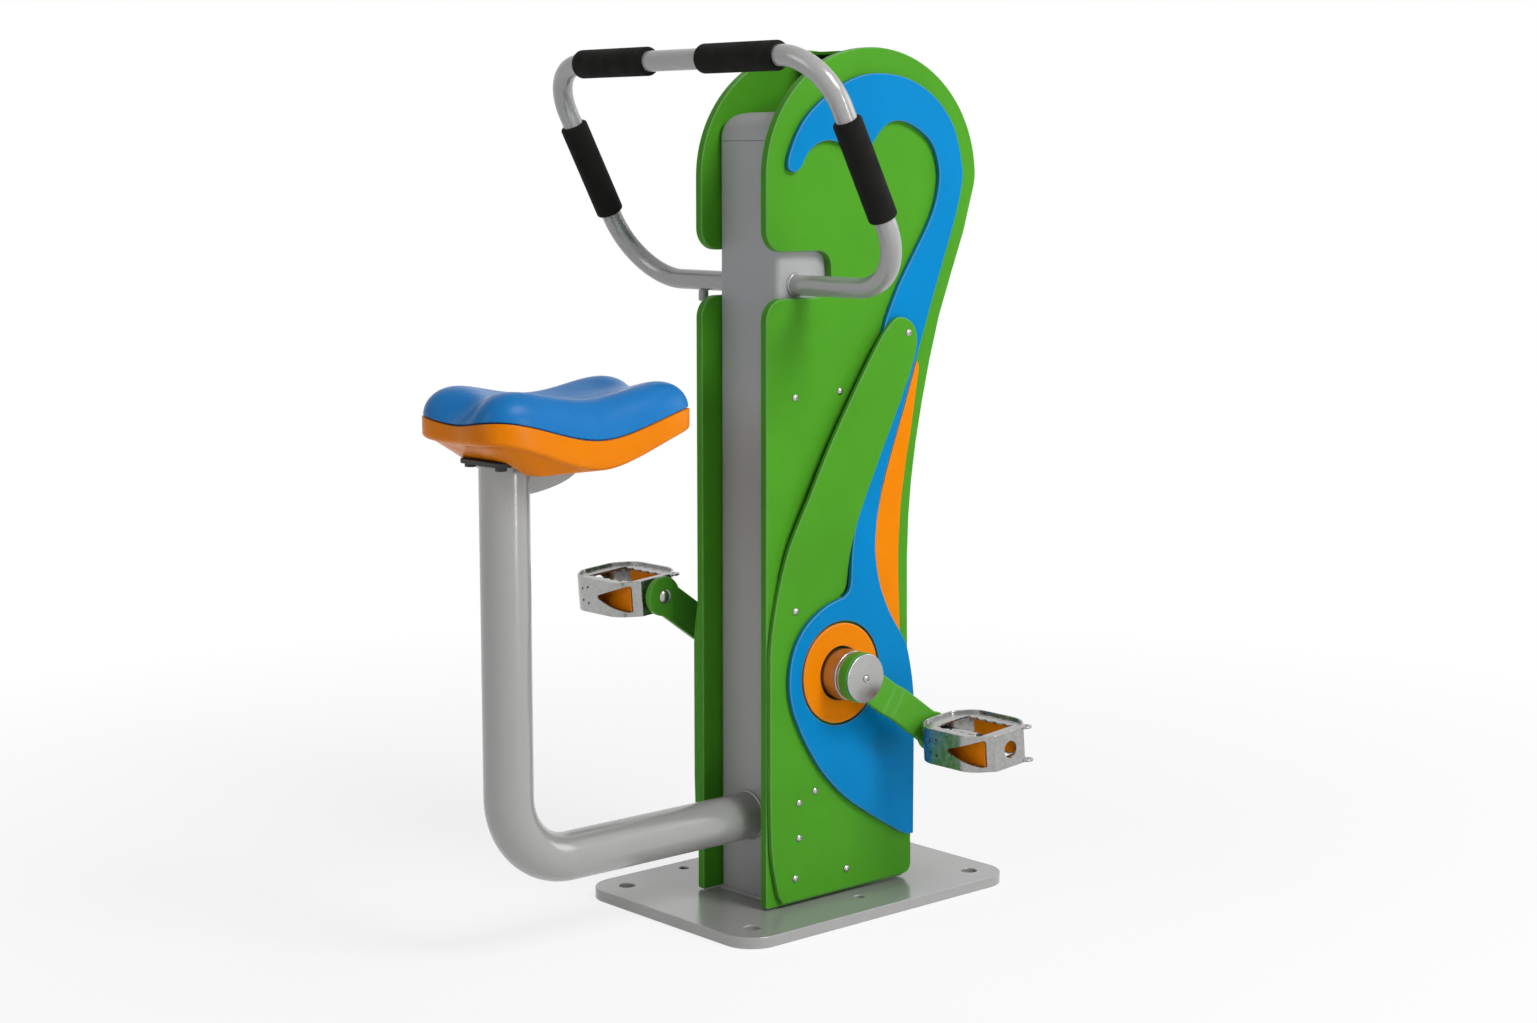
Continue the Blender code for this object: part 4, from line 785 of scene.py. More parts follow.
def handlebar_peg():
    low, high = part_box("handlebar_peg")
    radius = (high.x - low.x) / 2
    middle = (low + high) / 2
    long = high.z - low.z
    line = profile(((0, 0, 0), (radius, 0, radius / 3), (radius, long, 0), (0, long, 0)))[::-1]
    place = Matrix.Translation((middle.x, middle.y, low.z))
    dress("handlebar_peg", moved(turned_mesh(line, SMALL_SIDES), place), "mast_grey")


# Seat, with the same forms as its solids
SEAT_SIDES = 200
OUTLINE_SAMPLES = 4000
SEAT_RINGS = 22
BOWL_RINGS = 20
RIM_STEPS = 8
LIP_STEPS = 3
UNDER_RINGS = 6
SEAT_CORNER_POWER = 5
SEAT_WIDTH = 0.196
SEAT_LENGTH = 0.336
SEAT_MID_Y = 0.3845
SEAT_END_DENT = 0.004
SEAT_DENT_WIDTH = 0.034
SEAT_ROLL_SHARE = 0.38
SEAT_LIP = 0.0015
SHELL_LIP_WIDE = 0.00225
SEAT_UNDER_Z = 0.017
SEAT_UNDER_SHARE = 0.74
SEAT_UNDER_LONG_SHARE = 0.25
SEAT_UNDER_MID_Y = 0.432
SEAT_RIM_SHARE = 0.93
SEAT_RIM_RADIUS = 0.008
RIM_CORNER_Z = 0.025
RIM_SIDE_DROP = 0.039
RIM_END_DROP = 0.003
SEAM_CORNER_Z = 0.056
SEAM_SIDE_DROP = 0.032
SEAM_END_DROP = 0.009
SEAM_FLOOR_Z = 0.038
FLOOR_RING_SHARE = 0.5
BOWL_Z = 0.067
LOBE_END_RISE = 0.0235
LOBE_SIDE_RISE = 0.0095
LOBE_END_SHARE = 0.98
LOBE_SIDE_SHARE = 0.90
LOBE_NOTCH = 0.005
NOTCH_WIDTH = 0.034
LIP_ROUND = 0.0015
GROOVE_SHARE = 0.965
GROOVE_HIGH = 0.0014
GROOVE_TOP = 0.0021
LOBE_GROOVE = 0.019
GROOVE_HALF_WIDTH = 0.036
GROOVE_DROP_SHARE = 0.35
POCKET_CLEAR = 0.004
MOUNT_THICK = 0.006
MOUNT_CORNER = 0.010

seat_base_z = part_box("seat_post")[1].z + MOUNT_THICK + 2 * FIT


def seat_outline(angle, shrink=0):
    """A place on the seat's plan, from its centre, with rounded corners and dented ends."""
    over, along = math.cos(angle), math.sin(angle)
    size = (abs(over) ** SEAT_CORNER_POWER + abs(along) ** SEAT_CORNER_POWER) ** (1 / SEAT_CORNER_POWER)
    x = over / size * (SEAT_WIDTH / 2 - shrink)
    y = along / size * (SEAT_LENGTH / 2 - shrink)
    dent = SEAT_END_DENT * math.exp(-(x / SEAT_DENT_WIDTH) ** 2) * step_between(abs(along))
    return Vector((x, y - math.copysign(dent, along)))


def even_outline(shrink=0):
    """The seat's plan with its points spaced evenly along it."""
    dense = [seat_outline(i * math.tau / OUTLINE_SAMPLES, shrink) for i in range(OUTLINE_SAMPLES)]
    lengths = [0]
    for before, after in zip(dense, dense[1:] + dense[:1]):
        lengths.append(lengths[-1] + (after - before).length)
    points, at = [], 0
    for i in range(SEAT_SIDES):
        goal = lengths[-1] * i / SEAT_SIDES
        while lengths[at + 1] < goal:
            at += 1
        share = (goal - lengths[at]) / (lengths[at + 1] - lengths[at])
        points.append(lerp(dense[at], dense[(at + 1) % len(dense)], share))
    return points


def edge_height(spot, corner, side_drop, end_drop):
    along = step_between(abs(spot.y) / (SEAT_LENGTH / 2))
    over = step_between(abs(spot.x) / (SEAT_WIDTH / 2))
    return seat_base_z + corner - side_drop * (1 - along) - end_drop * (1 - over)


def seat_seam(edge):
    return edge_height(edge, SEAM_CORNER_Z, SEAM_SIDE_DROP, SEAM_END_DROP)


def seat_rim(edge):
    return edge_height(edge, RIM_CORNER_Z, RIM_SIDE_DROP, RIM_END_DROP)


def seat_height(spot):
    """The height of the seat's crown: a bowl with a lobe in each corner and notched ends."""
    along = step_between(abs(spot.y) / (SEAT_LENGTH / 2 * LOBE_END_SHARE))
    over = step_between(abs(spot.x) / (SEAT_WIDTH / 2 * LOBE_SIDE_SHARE))
    notch = LOBE_NOTCH * math.exp(-(spot.x / NOTCH_WIDTH) ** 2)
    return seat_base_z + BOWL_Z + (LOBE_END_RISE - notch) * along + LOBE_SIDE_RISE * over


def seat_ring(edges, share, height):
    """A ring drawn in to a share of the plan, at a height worked out from its edge point and its own."""
    spots = [(edge, edge * share) for edge in edges]
    return [(spot.x, spot.y - SEAT_MID_Y, height(edge, spot)) for edge, spot in spots]


def floor_rings(edges, floor_z, clear):
    """The hidden floor where the top and the shell meet, up to halfway to the seam."""
    return [[(0, -SEAT_MID_Y, floor_z)],
            seat_ring(edges, FLOOR_RING_SHARE,
                      lambda edge, spot: lerp(floor_z, seat_seam(edge) - clear, FLOOR_RING_SHARE))]


def drawn_in(point, depth):
    """A point of the seat's side, moved in where the groove between two lobes runs down an end."""
    x, y, z = point
    along = (y + SEAT_MID_Y) / (SEAT_LENGTH / 2)
    groove = LOBE_GROOVE * depth * math.exp(-(x / GROOVE_HALF_WIDTH) ** 2) * along ** 3
    return (x, y - groove, z - abs(groove) * GROOVE_DROP_SHARE)


def seat_top():
    """The blue top: a groove at the seam, sides that roll in and a crown with four lobes."""
    edges = even_outline(SEAT_LIP)
    rings = floor_rings(edges, seat_base_z + SEAM_FLOOR_Z, 0)
    for share, up in ((GROOVE_SHARE, 0), (GROOVE_SHARE, GROOVE_HIGH), (1, GROOVE_TOP)):
        rings.append(seat_ring(edges, share, lambda edge, spot, up=up: seat_seam(edge) + up))
    for angle in quarter(SEAT_RINGS)[1:]:
        share = 1 - SEAT_ROLL_SHARE * (1 - math.cos(angle))
        rise = math.sin(angle)
        ring = seat_ring(edges, share,
                         lambda edge, spot, rise=rise: lerp(seat_seam(edge), seat_height(spot), rise))
        rings.append([drawn_in(point, math.sin(2 * angle)) for point in ring])
    for i in range(1, BOWL_RINGS):
        share = (1 - SEAT_ROLL_SHARE) * (1 - i / BOWL_RINGS)
        rings.append(seat_ring(edges, share, lambda edge, spot: seat_height(spot)))
    rings.append([(0, -SEAT_MID_Y, seat_height(Vector((0, 0))))])
    dress("seat_top", loft_mesh(rings), "seat_blue")


def seat_shell():
    """The orange shell: a lip at the seam, a rounded rim and an underside drawn in to the pocket."""
    edges = even_outline(FIT)
    under = seat_base_z - SEAT_UNDER_Z
    rings = floor_rings(edges, seat_base_z + SEAM_FLOOR_Z - FIT, FIT)
    lip = [(1 - SHELL_LIP_WIDE / (SEAT_WIDTH / 2), FIT)]
    for angle in quarter(LIP_STEPS):
        lip.append((1 - LIP_ROUND / (SEAT_WIDTH / 2) * (1 - math.sin(angle)),
                    FIT + LIP_ROUND * (1 - math.cos(angle))))
    for share, drop in lip:
        rings.append(seat_ring(edges, share, lambda edge, spot, drop=drop: seat_seam(edge) - drop))
    for angle in quarter(RIM_STEPS):
        share = lerp(SEAT_RIM_SHARE, 1, math.cos(angle))
        up = SEAT_RIM_RADIUS * (1 - math.sin(angle))
        rings.append(seat_ring(edges, share, lambda edge, spot, up=up: seat_rim(edge) + up))
    last = rings[-1]
    foot = [(edge.x * SEAT_UNDER_SHARE, edge.y * SEAT_UNDER_LONG_SHARE - SEAT_UNDER_MID_Y, under)
            for edge in edges]
    for i in range(1, UNDER_RINGS + 1):
        rings.append([[lerp(start, end, i / UNDER_RINGS) for start, end in zip(*pair)]
                      for pair in zip(last, foot)])
    rings.append([(0, -SEAT_UNDER_MID_Y, under)])
    low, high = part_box("seat_mount_plate")
    outline = rounded_box(low.x - POCKET_CLEAR, low.y - POCKET_CLEAR, high.x + POCKET_CLEAR,
                          high.y + POCKET_CLEAR, MOUNT_CORNER + POCKET_CLEAR)
    bottom = under - 2 * SEAT_UNDER_Z
    pocket = plate_mesh([outline], bottom, seat_base_z + 3 * FIT - bottom)
    dress("seat_shell", cut(loft_mesh(rings), pocket), "seat_orange")


# Fixings under the seat, the strip between the panels, bolts and screws
GUSSET_EDGE = 0.001
COVER_EDGE = 0.0008
MOUNT_EDGE = 0.0008
STUD_RADIUS = 0.004
STUD_LONG = 0.018
STUD_INSET = 0.012
NUT_RADIUS = 0.0075
NUT_SIDES = 6
NUT_HIGH = 0.005
NUT_EDGE = 0.0006
SOCKET_SHARE = 0.42
SOCKET_TAPER_SHARE = 0.9
SOCKET_DEEP = 0.0009
DOME_EDGE_SHARE = 0.2
DOME_STEPS = 12
BOLT_HEAD_HIGH = 0.003
DISC_SCREW_OUT = 0.0525
DISC_SCREW_RADIUS = 0.0024
DISC_SCREW_HIGH = 0.0006


def stood_plate(node, paint, edge):
    """A plate across its node's width, from the node's side outline."""
    low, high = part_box(node)
    dress(node, sheet(node, 1, low.x, high.x - low.x, edge), paint, weighted=True)


def seat_fixing():
    """The gusset on the post, and the mounting plate with its studs and nuts, which wear the black rubber
    colour as painted shade of the pocket under the seat.
    """
    stood_plate("seat_gusset", "tube_grey", GUSSET_EDGE)
    low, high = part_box("seat_mount_plate")
    foot = low.z + NUT_HIGH
    outline = rounded_box(low.x, low.y, high.x, high.y, MOUNT_CORNER)
    meshes = [plate_mesh([outline], foot, MOUNT_THICK, MOUNT_EDGE)]
    stud = turned_mesh(rod_profile(STUD_RADIUS, -NUT_HIGH, STUD_LONG), TINY_SIDES)
    nut = plate_mesh([circle((0, 0), NUT_RADIUS, NUT_SIDES)], -NUT_HIGH, NUT_HIGH, NUT_EDGE)
    for x in (low.x + STUD_INSET, high.x - STUD_INSET):
        for y in (low.y + STUD_INSET, high.y - STUD_INSET):
            place = Matrix.Translation((x, y, foot))
            meshes += [moved(stud, place), moved(nut, place)]
    # The steel plate, studs and nuts are black: painted shade that stands in for the shadow in the seat's
    # pocket.
    add_piece("seat_mount_painted_shade", merged(meshes), "dark_rubber", nodes=["seat_mount_plate"])


def domed(radius, high, socket=True):
    """A domed head on the plane Z = 0, which may have a small round socket in its middle."""
    crown = (radius * radius + high * high) / (2 * high)
    edge = high * DOME_EDGE_SHARE
    line = [Vector((0, 0)), Vector((radius, 0)), Vector((radius, edge))]
    inner = radius * SOCKET_SHARE if socket else 0
    for i in range(1, DOME_STEPS + 1):
        out = lerp(radius, inner, i / DOME_STEPS)
        rise = (math.sqrt(crown ** 2 - out ** 2) - crown + high) / high
        line.append(Vector((out, edge + (high - edge) * rise)))
    if socket:
        floor_z = line[-1].y - min(SOCKET_DEEP, high / 2)
        line += [Vector((inner * SOCKET_TAPER_SHARE, floor_z)), Vector((0, floor_z))]
    return line


def bolts():
    """Bolts through both panels: a shank and a domed head on each face."""
    for name in [name for name in frame["nodes"] if name.startswith("panel_bolt") or name == "tip_bolt"]:
        low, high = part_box(name)
        middle = (low + high) / 2
        radius = half_high(name)
        reach = high.x - BOLT_HEAD_HIGH
        head = turned_mesh(domed(radius, BOLT_HEAD_HIGH), BOLT_SIDES)
        head = moved(head, Matrix.Translation((0, 0, reach)))
        shank = turned_mesh(rod_profile(radius / 2, -reach, reach), TINY_SIDES)
        bolt = merged([shank, head, moved(head, Matrix.Rotation(math.pi, 4, "X"))])
        dress(name, moved(bolt, Matrix.Translation((0, middle.y, middle.z)) @ TO_RIGHT), "bright_steel")


def disc_screws():
    """Two small flat screws on each orange disc, above and below the hub."""
    head = turned_mesh(domed(DISC_SCREW_RADIUS, DISC_SCREW_HIGH), TINY_SIDES)
    for name, side in SIDES:
        middle = Vector((side * across("hub_disc_" + name)[1], crank_place.y, crank_place.z))
        meshes = [moved(head, Matrix.Translation(middle + Vector((0, 0, out))) @ outward(side))
                  for out in (DISC_SCREW_OUT, -DISC_SCREW_OUT)]
        add_piece("disc_screws_" + name, merged(meshes), "leaf_orange")


# Crank
CUP_ROUND = 0.0015
WASHER_ROUND = 0.0008
BOSS_ROUND = 0.0018
HUB_CAP_ROUND = 0.0012
HUB_CAP_THICK = 0.003
HUB_SCREW_RADIUS = 0.0048
HUB_RECESS_RADIUS = 0.0058
HUB_RECESS_DEEP = 0.0008
HUB_SCREW_HIGH = 0.003
SEAL_GROOVE_SHARES = (0.90, 0.86, 0.66, 0.62)
SHAFT_RADIUS = 0.0125
SHAFT_BORE = SHAFT_RADIUS + FIT
CRANK_DROP = math.radians(35)
ARM_LONG = 0.165
ARM_WIDTH = 0.047
ARM_THICK = 0.010
ARM_EDGE = 0.0022
ARM_END_RADIUS = 0.028
ARM_START = 0.018
ARM_HUB_HOLE = 0.016
ARM_RECESS = 0.001
ARM_JOG = 0.009
ARM_JOG_START = 0.062
ARM_JOG_END = 0.082
ARM_JOG_STRIPS = 16
ARM_END_STEPS = 60
SPINDLE_RADIUS = 0.007

crank_turns = {"right": Matrix.Identity(4), "left": Matrix.Rotation(math.pi, 4, "Z")}


def at_crank(name):
    """From the crank's own lines on the right side to their place on a side."""
    lean = Matrix.Rotation(-CRANK_DROP, 4, "X")
    return Matrix.Translation((0, crank_place.y, crank_place.z)) @ lean @ crank_turns[name]


def seal_profile(bore, low, high):
    """A sealed bearing's section, with a shallow groove in its outer face."""
    outer, deep, deep_in, inner = [bore * share for share in SEAL_GROOVE_SHARES]
    return [(SHAFT_BORE, high), (SHAFT_BORE, low), (bore - FIT, low), (bore - FIT, high), (outer, high),
            (deep, high - FIT), (deep_in, high - FIT), (inner, high)]


def hub():
    """What sits on the crank's shaft, from the cups on the mast to the caps on the bosses."""
    for name in crank_turns:
        place = at_crank(name) @ TO_RIGHT
        cup, bearing, washer, cap = [piece + "_" + name for piece in
                                     ("bearing_cup", "crank_bearing", "hub_washer", "hub_cap")]
        bore = half_high(bearing)
        line = ring_profile(half_high(cup), bore, *across(cup), 0, CUP_ROUND)
        dress(cup, moved(turned_mesh(line, ring=True), place), "bright_steel")
        seal = turned_mesh(seal_profile(bore, *across(bearing)), ROUND_SIDES, ring=True)
        dress(bearing, moved(seal, place), "dark_rubber")
        line = ring_profile(half_high(washer), SHAFT_BORE, *across(washer), WASHER_ROUND, WASHER_ROUND)
        dress(washer, moved(turned_mesh(line, ring=True), place), "bright_steel", "crank")
        low, high = across(cap)
        radius = half_high(cap)
        face = low + HUB_CAP_THICK
        recess = face - HUB_RECESS_DEEP
        line = profile(((0, low, 0), (radius, low, 0), (radius, face, HUB_CAP_ROUND),
                        (HUB_RECESS_RADIUS, face + FIT, 0), (HUB_RECESS_RADIUS, recess, 0), (0, recess, 0)))
        dress(cap, moved(turned_mesh(line[::-1]), place), "bright_steel", "crank")
        screw = turned_mesh(domed(HUB_SCREW_RADIUS, high - recess), ROUND_SIDES)
        add_piece("hub_screw_%s_look" % name, moved(screw, place @ Matrix.Translation((0, 0, recess))),
                  "bright_steel", "crank")


def crank_arms():
    """A flat bar with rounded edges, a step outward, a round end and a boss on the shaft."""
    half = ARM_WIDTH / 2
    reach = math.pi / 2 + math.acos(half / ARM_END_RADIUS)
    outline = [Vector((-ARM_START, -half))]
    for i in range(ARM_END_STEPS + 1):
        angle = lerp(-reach, reach, i / ARM_END_STEPS)
        way = Vector((math.cos(angle), math.sin(angle)))
        outline.append(Vector((ARM_LONG, 0)) + way * ARM_END_RADIUS)
    outline.append(Vector((-ARM_START, half)))
    loops = [outline, circle((ARM_LONG, 0), SPINDLE_RADIUS, SMALL_SIDES),
             circle((0, 0), ARM_HUB_HOLE, SMALL_SIDES)]
    low = across("crank_arm_right")[0]
    high = across("hub_cap_right")[1] - HUB_CAP_THICK - HUB_SCREW_HIGH - FIT
    flat = moved(plate_mesh(loops, low + ARM_RECESS, ARM_THICK, ARM_EDGE), UPRIGHT)
    arm = bent(flat, 1, ARM_JOG_START, ARM_JOG_END, ARM_JOG_STRIPS,
               lambda share: ARM_JOG * step_between(share))
    line = ring_profile(half_high("bearing_cup_right"), SHAFT_BORE, low, high, BOSS_ROUND, BOSS_ROUND)
    boss = moved(turned_mesh(line, ring=True), TO_RIGHT)
    for name in crank_turns:
        dress("crank_arm_" + name, moved(merged([arm, boss]), at_crank(name)), "crank_green", "crank", True)


# Pedals
PEDAL_TILT = math.radians(5)
PEDAL_LONG = 0.138
PEDAL_DEEP = 0.112
PEDAL_HIGH = 0.051
PEDAL_STAND_OFF = 0.007
PEDAL_WALL = 0.003
PEDAL_EDGE_SHARES = ((1, -0.50), (1, 0.50), (0.62, 1), (-0.65, 1), (-1, 0.50), (-1, -0.50),
                     (-0.65, -1), (0.62, -1))
PEDAL_EDGE_RADIUS = 0.025
PEDAL_RADIUS_SHARES = (0.16, 0.16, 1.7, 1.4, 1, 1, 1.4, 1.7)
WALL_ROUND = 0.0010
FLANGE_THICK = 0.003
FLANGE_ROUND = 0.0008
FLANGE_INSET = 0.004
OPEN_HALF_LONG = 0.043
OPEN_HALF_DEEP = 0.0355
TOOTH = 0.004
TOOTH_BOW = 0.002
TOOTH_ROUND = 0.0009
TOOTH_STEPS = 4
TEETH = 5
FLANGE_HOLES = 4
FLANGE_HOLE_RADIUS = 0.0022
FLANGE_HOLE_X = 0.032
FLANGE_HOLE_Y = 0.0462
FLANGE_HOLE_LAST_Y = 0.0440
WINDOW_APEX_X = -0.004
WINDOW_BASE_X = 0.060
WINDOW_HALF_HIGH = 0.0203
WINDOW_ROUND = 0.003
WINDOW_STEPS = 6
WINDOW_FROM_Y = 0.024
WALL_HOLE_RADIUS = 0.0019
WALL_HOLE_SPOTS = ((-0.030, 0.0085), (-0.018, 0.0115), (-0.030, -0.0085), (-0.018, -0.0115))
FAR_HOLE_SPOTS = ((-0.040, 0.0155), (-0.028, 0.0155), (-0.016, 0.0155))
EAR_RADIUS = 0.0085
EAR_X = 0.067
EAR_Y = 0.034
EAR_THICK = 0.003
EAR_INSET = 0.0005
EAR_HOLE_RADIUS = 0.0025
BARREL_RADIUS = 0.012
COLLAR_RADIUS = 0.016
COLLAR_ROUND = 0.0015
REFLECTOR_FROM_X = -0.030
REFLECTOR_TO_X = 0.057
REFLECTOR_Y = 0.032
REFLECTOR_THICK = 0.006
REFLECTOR_CORNER = 0.002
REFLECTOR_EDGE = 0.0008
DUST_CAP_HIGH = 0.005
SPINDLE_HEAD_RADIUS = 0.010
SPINDLE_HEAD_HIGH = 0.005
OVERRUN = 0.005


def pedal_edge(inset):
    """The pedal's plan outline, moved in by a distance on every side."""
    half_x, half_y = PEDAL_LONG / 2, PEDAL_DEEP / 2
    corners = [Vector((x * half_x, y * half_y)) for x, y in PEDAL_EDGE_SHARES]
    loop = rounded_loop(corners, [PEDAL_EDGE_RADIUS * share for share in PEDAL_RADIUS_SHARES])
    edge = []
    for before, point, after in zip([loop[-1]] + loop, loop, loop[1:] + [loop[0]]):
        along = (after - before).normalized()
        edge.append(point + Vector((-along.y, along.x)) * inset)
    return edge


def toothed_loop():
    """The opening in a flange, with rounded teeth along its two long sides."""
    loop = []
    for side in (-1, 1):
        for i in range(2 * TEETH + 1):
            x = lerp(side * OPEN_HALF_LONG, -side * OPEN_HALF_LONG, i / (2 * TEETH))
            y = OPEN_HALF_DEEP - i % 2 * TOOTH - TOOTH_BOW * (1 - (x / OPEN_HALF_LONG) ** 2)
            loop.append(Vector((x, side * y)))
    return rounded_loop(loop, [TOOTH_ROUND] * len(loop), TOOTH_STEPS)


def stood_up(high_y):
    """Stands a plate drawn in X and Y up on edge, with its foot at a Y and the plate behind it."""
    return Matrix.Translation((0, high_y, 0)) @ Matrix.Rotation(math.pi / 2, 4, "X")


def through_wall(loop):
    """Two upright prisms that cut an outline, drawn in X and Z, through both long walls."""
    deep = PEDAL_DEEP / 2 + OVERRUN - WINDOW_FROM_Y
    prism = plate_mesh([loop], 0, deep)
    return [moved(prism, stood_up(start + deep)) for start in (WINDOW_FROM_Y, -WINDOW_FROM_Y - deep)]


def cage_wall():
    """The cage's wall, with its windows, small holes and the barrel's bore."""
    wall = plate_mesh([pedal_edge(0), pedal_edge(PEDAL_WALL)], -PEDAL_HIGH / 2, PEDAL_HIGH, WALL_ROUND)
    corners = [Vector((WINDOW_APEX_X, 0)), Vector((WINDOW_BASE_X, -WINDOW_HALF_HIGH)),
               Vector((WINDOW_BASE_X, WINDOW_HALF_HIGH))]
    tools = through_wall(rounded_loop(corners, [WINDOW_ROUND] * len(corners), WINDOW_STEPS))
    for spots, walls in ((WALL_HOLE_SPOTS, 2), (FAR_HOLE_SPOTS, 1)):
        for spot in spots:
            tools += through_wall(circle(spot, WALL_HOLE_RADIUS, TINY_SIDES))[:walls]
    reach = PEDAL_LONG / 2 + OVERRUN
    bore = moved(turned_mesh(rod_profile(BARREL_RADIUS, -reach, reach), ROUND_SIDES), TO_RIGHT)
    return cut(wall, merged(tools + [bore]))


def cage_mesh():
    """A cage about its own centre: the wall, two toothed flanges and two ears."""
    half_z = PEDAL_HIGH / 2
    loops = [pedal_edge(PEDAL_WALL / 2), toothed_loop()]
    for side in (-1, 1):
        for i in range(FLANGE_HOLES):
            share = i / (FLANGE_HOLES - 1)
            spot = (lerp(-FLANGE_HOLE_X, FLANGE_HOLE_X, share),
                    side * lerp(FLANGE_HOLE_Y, FLANGE_HOLE_LAST_Y, share))
            loops.append(circle(spot, FLANGE_HOLE_RADIUS, TINY_SIDES))
    ear = [circle((EAR_X, EAR_Y), EAR_RADIUS, SMALL_SIDES),
           circle((EAR_X, EAR_Y), EAR_HOLE_RADIUS, TINY_SIDES)]
    meshes = [cage_wall()]
    for outlines, thick, inset in ((loops, FLANGE_THICK, FLANGE_INSET), (ear, EAR_THICK, EAR_INSET)):
        for low in (inset - half_z, half_z - inset - thick):
            meshes.append(plate_mesh(outlines, low, thick, FLANGE_ROUND))
    return merged(meshes)


def reflector_mesh(low_y):
    """A reflector's block with rounded edges, about the pedal's middle."""
    half_z = PEDAL_HIGH / 2 - FLANGE_INSET - FLANGE_THICK - FIT
    outline = rounded_box(REFLECTOR_FROM_X, -half_z, REFLECTOR_TO_X, half_z, REFLECTOR_CORNER, FINE_STEPS)
    block = plate_mesh([outline], 0, REFLECTOR_THICK, REFLECTOR_EDGE)
    return moved(block, stood_up(low_y + REFLECTOR_THICK))


def pedals():
    cage = cage_mesh()
    reflectors = {"front": reflector_mesh(REFLECTOR_Y),
                  "rear": reflector_mesh(-REFLECTOR_Y - REFLECTOR_THICK)}
    arm_high = across("crank_arm_right")[1]
    cage_x = arm_high + PEDAL_STAND_OFF
    head_x = arm_high - ARM_THICK - FIT
    for name, side in SIDES:
        body = "pedal_" + name
        spot = pedal_places[name]
        tilt = Matrix.Translation((0, spot.y, spot.z)) @ Matrix.Rotation(PEDAL_TILT, 4, "X")
        at_middle = tilt @ Matrix.Translation((side * (cage_x + PEDAL_LONG / 2), 0, 0))
        dress("pedal_cage_" + name, moved(cage, at_middle), "cage_grey", body, True)
        for label, block in reflectors.items():
            dress("reflector_%s_%s" % (label, name), moved(block, at_middle), "leaf_orange", body)
        out = tilt @ outward(side)
        bore = SPINDLE_RADIUS + FIT
        near, end = across("pedal_barrel_" + name)
        line = profile(((bore, near, 0), (COLLAR_RADIUS, near, COLLAR_ROUND),
                        (COLLAR_RADIUS, cage_x - FIT, COLLAR_ROUND), (BARREL_RADIUS, cage_x - FIT, 0),
                        (BARREL_RADIUS, end, COLLAR_ROUND), (bore, end, 0)), FINE_STEPS)
        barrel = turned_mesh(line[::-1], ROUND_SIDES, ring=True)
        dress("pedal_barrel_" + name, moved(barrel, out), "bright_steel", body)
        cap = turned_mesh(domed(BARREL_RADIUS, DUST_CAP_HIGH, False), ROUND_SIDES)
        cap = moved(cap, out @ Matrix.Translation((0, 0, end + FIT)))
        dress("dust_cap_" + name, cap, "dark_rubber", body)
        shank = turned_mesh(rod_profile(SPINDLE_RADIUS - FIT, head_x, end - DUST_CAP_HIGH), SMALL_SIDES)
        head = turned_mesh(domed(SPINDLE_HEAD_RADIUS, SPINDLE_HEAD_HIGH, False), ROUND_SIDES)
        turned_in = Matrix.Translation((0, 0, head_x)) @ Matrix.Rotation(math.pi, 4, "X")
        spindle = merged([shank, moved(head, turned_in)])
        dress("pedal_spindle_" + name, moved(spindle, out), "bright_steel", "crank")


def recolour():
    """The CAD nodes that keep their own shape get their finished materials."""
    for name, paint in (("bearing_tube", "mast_grey"), ("crank_shaft", "bright_steel"),
                        ("tip_spacer", "bright_steel")):
        node = frame["nodes"][name]
        node.data.materials.clear()
        node.data.materials.append(PAINT[paint])


def seen_rays(tree):
    """One for the rays that show the background: from the camera, off gloss and through clear pieces."""
    rays = add_node(tree, "LightPath", {}).outputs
    seen = rays["Is Camera Ray"]
    for name in ("Is Glossy Ray", "Is Transmission Ray"):
        seen = arithmetic(tree, "MAXIMUM", seen, rays[name])
    return seen


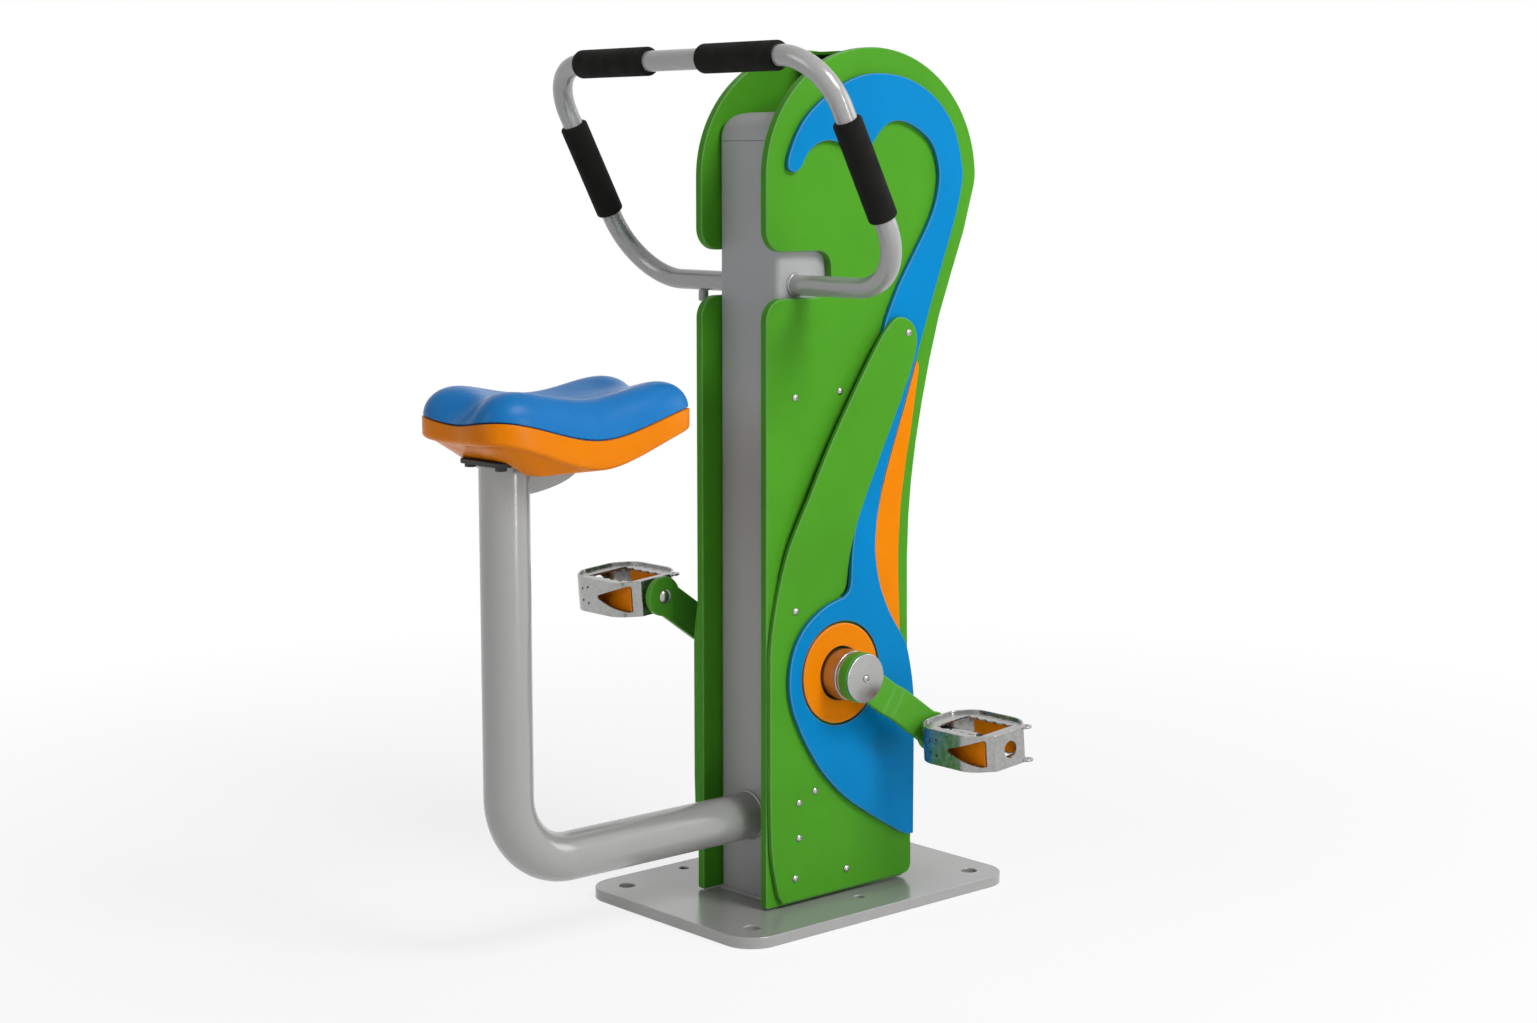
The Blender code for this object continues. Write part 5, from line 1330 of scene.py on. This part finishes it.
def camera_and_lamps():
    camera = show("camera", bpy.data.cameras.new("camera"))
    camera.location = CAMERA_PLACE
    camera.rotation_euler = (CAMERA_TILT, 0, CAMERA_TURN)
    camera.data.lens = CAMERA_LENS
    bpy.context.scene.camera = camera
    for name, place, wide, high, power in LAMPS:
        lamp = show(name, bpy.data.lights.new(name, "AREA"))
        lamp.data.shape = "RECTANGLE"
        lamp.data.size = wide
        lamp.data.size_y = high
        lamp.data.energy = power
        lamp.location = place
        lamp.rotation_euler = (Vector(LAMP_TARGET) - lamp.location).to_track_quat("-Z", "Y").to_euler()


def background():
    """A dim even light on the object, seen as plain white."""
    world = bpy.data.worlds.new("studio")
    bpy.context.scene.world = world
    world.use_nodes = True
    tree = world.node_tree
    light = fill(tree, tree.nodes["Background"], {"Color": WHITE, "Strength": WORLD_LIGHT})
    shown = add_node(tree, "Background", {"Color": WHITE})
    mix = add_node(tree, "MixShader", {"Fac": seen_rays(tree), 1: light.outputs[0], 2: shown.outputs[0]})
    fill(tree, tree.nodes["World Output"], {"Surface": mix.outputs["Shader"]})
    bpy.context.scene.view_settings.view_transform = "Standard"


def floor():
    """A pale floor that keeps the object's shadow and runs out into the white background."""
    shape = bmesh.new()
    bmesh.ops.create_circle(shape, cap_ends=True, segments=FLOOR_SIDES, radius=FLOOR_RADIUS)
    item = show("floor", to_mesh(shape, "floor"))
    item.location.z = -FLOOR_GAP
    look = Shader("floor", FLOOR_COLOUR, roughness=0.9)
    tone = look.tinted(look.noise(3, detail=2), darker=0.005, lighter=0.005)
    item.data.materials.append(look.finish(tone, look.noise(30), smoother=0.05, rougher=0.05))
    away = look.add("VectorMath", {0: look.place}, operation="LENGTH").outputs["Value"]
    share = look.spread(away, FLOOR_WHITE_SHARE, 1, FLOOR_FADE_START, FLOOR_FADE_END)
    white = look.add("Emission", {"Color": WHITE})
    seen = arithmetic(look.tree, "MULTIPLY", share, seen_rays(look.tree))
    mix = look.add("MixShader", {"Fac": seen, 1: look.shader.outputs[0], 2: white.outputs[0]})
    fill(look.tree, look.tree.nodes["Material Output"], {"Surface": mix.outputs["Shader"]})


recolour()
sheets()
base_plate()
mast()
mast_cap()
seat_post()
handlebar()
grips()
handlebar_peg()
seat_top()
seat_shell()
seat_fixing()
stood_plate("rear_cover", "panel_green", COVER_EDGE)
bolts()
disc_screws()
hub()
crank_arms()
pedals()
floor()
camera_and_lamps()
background()
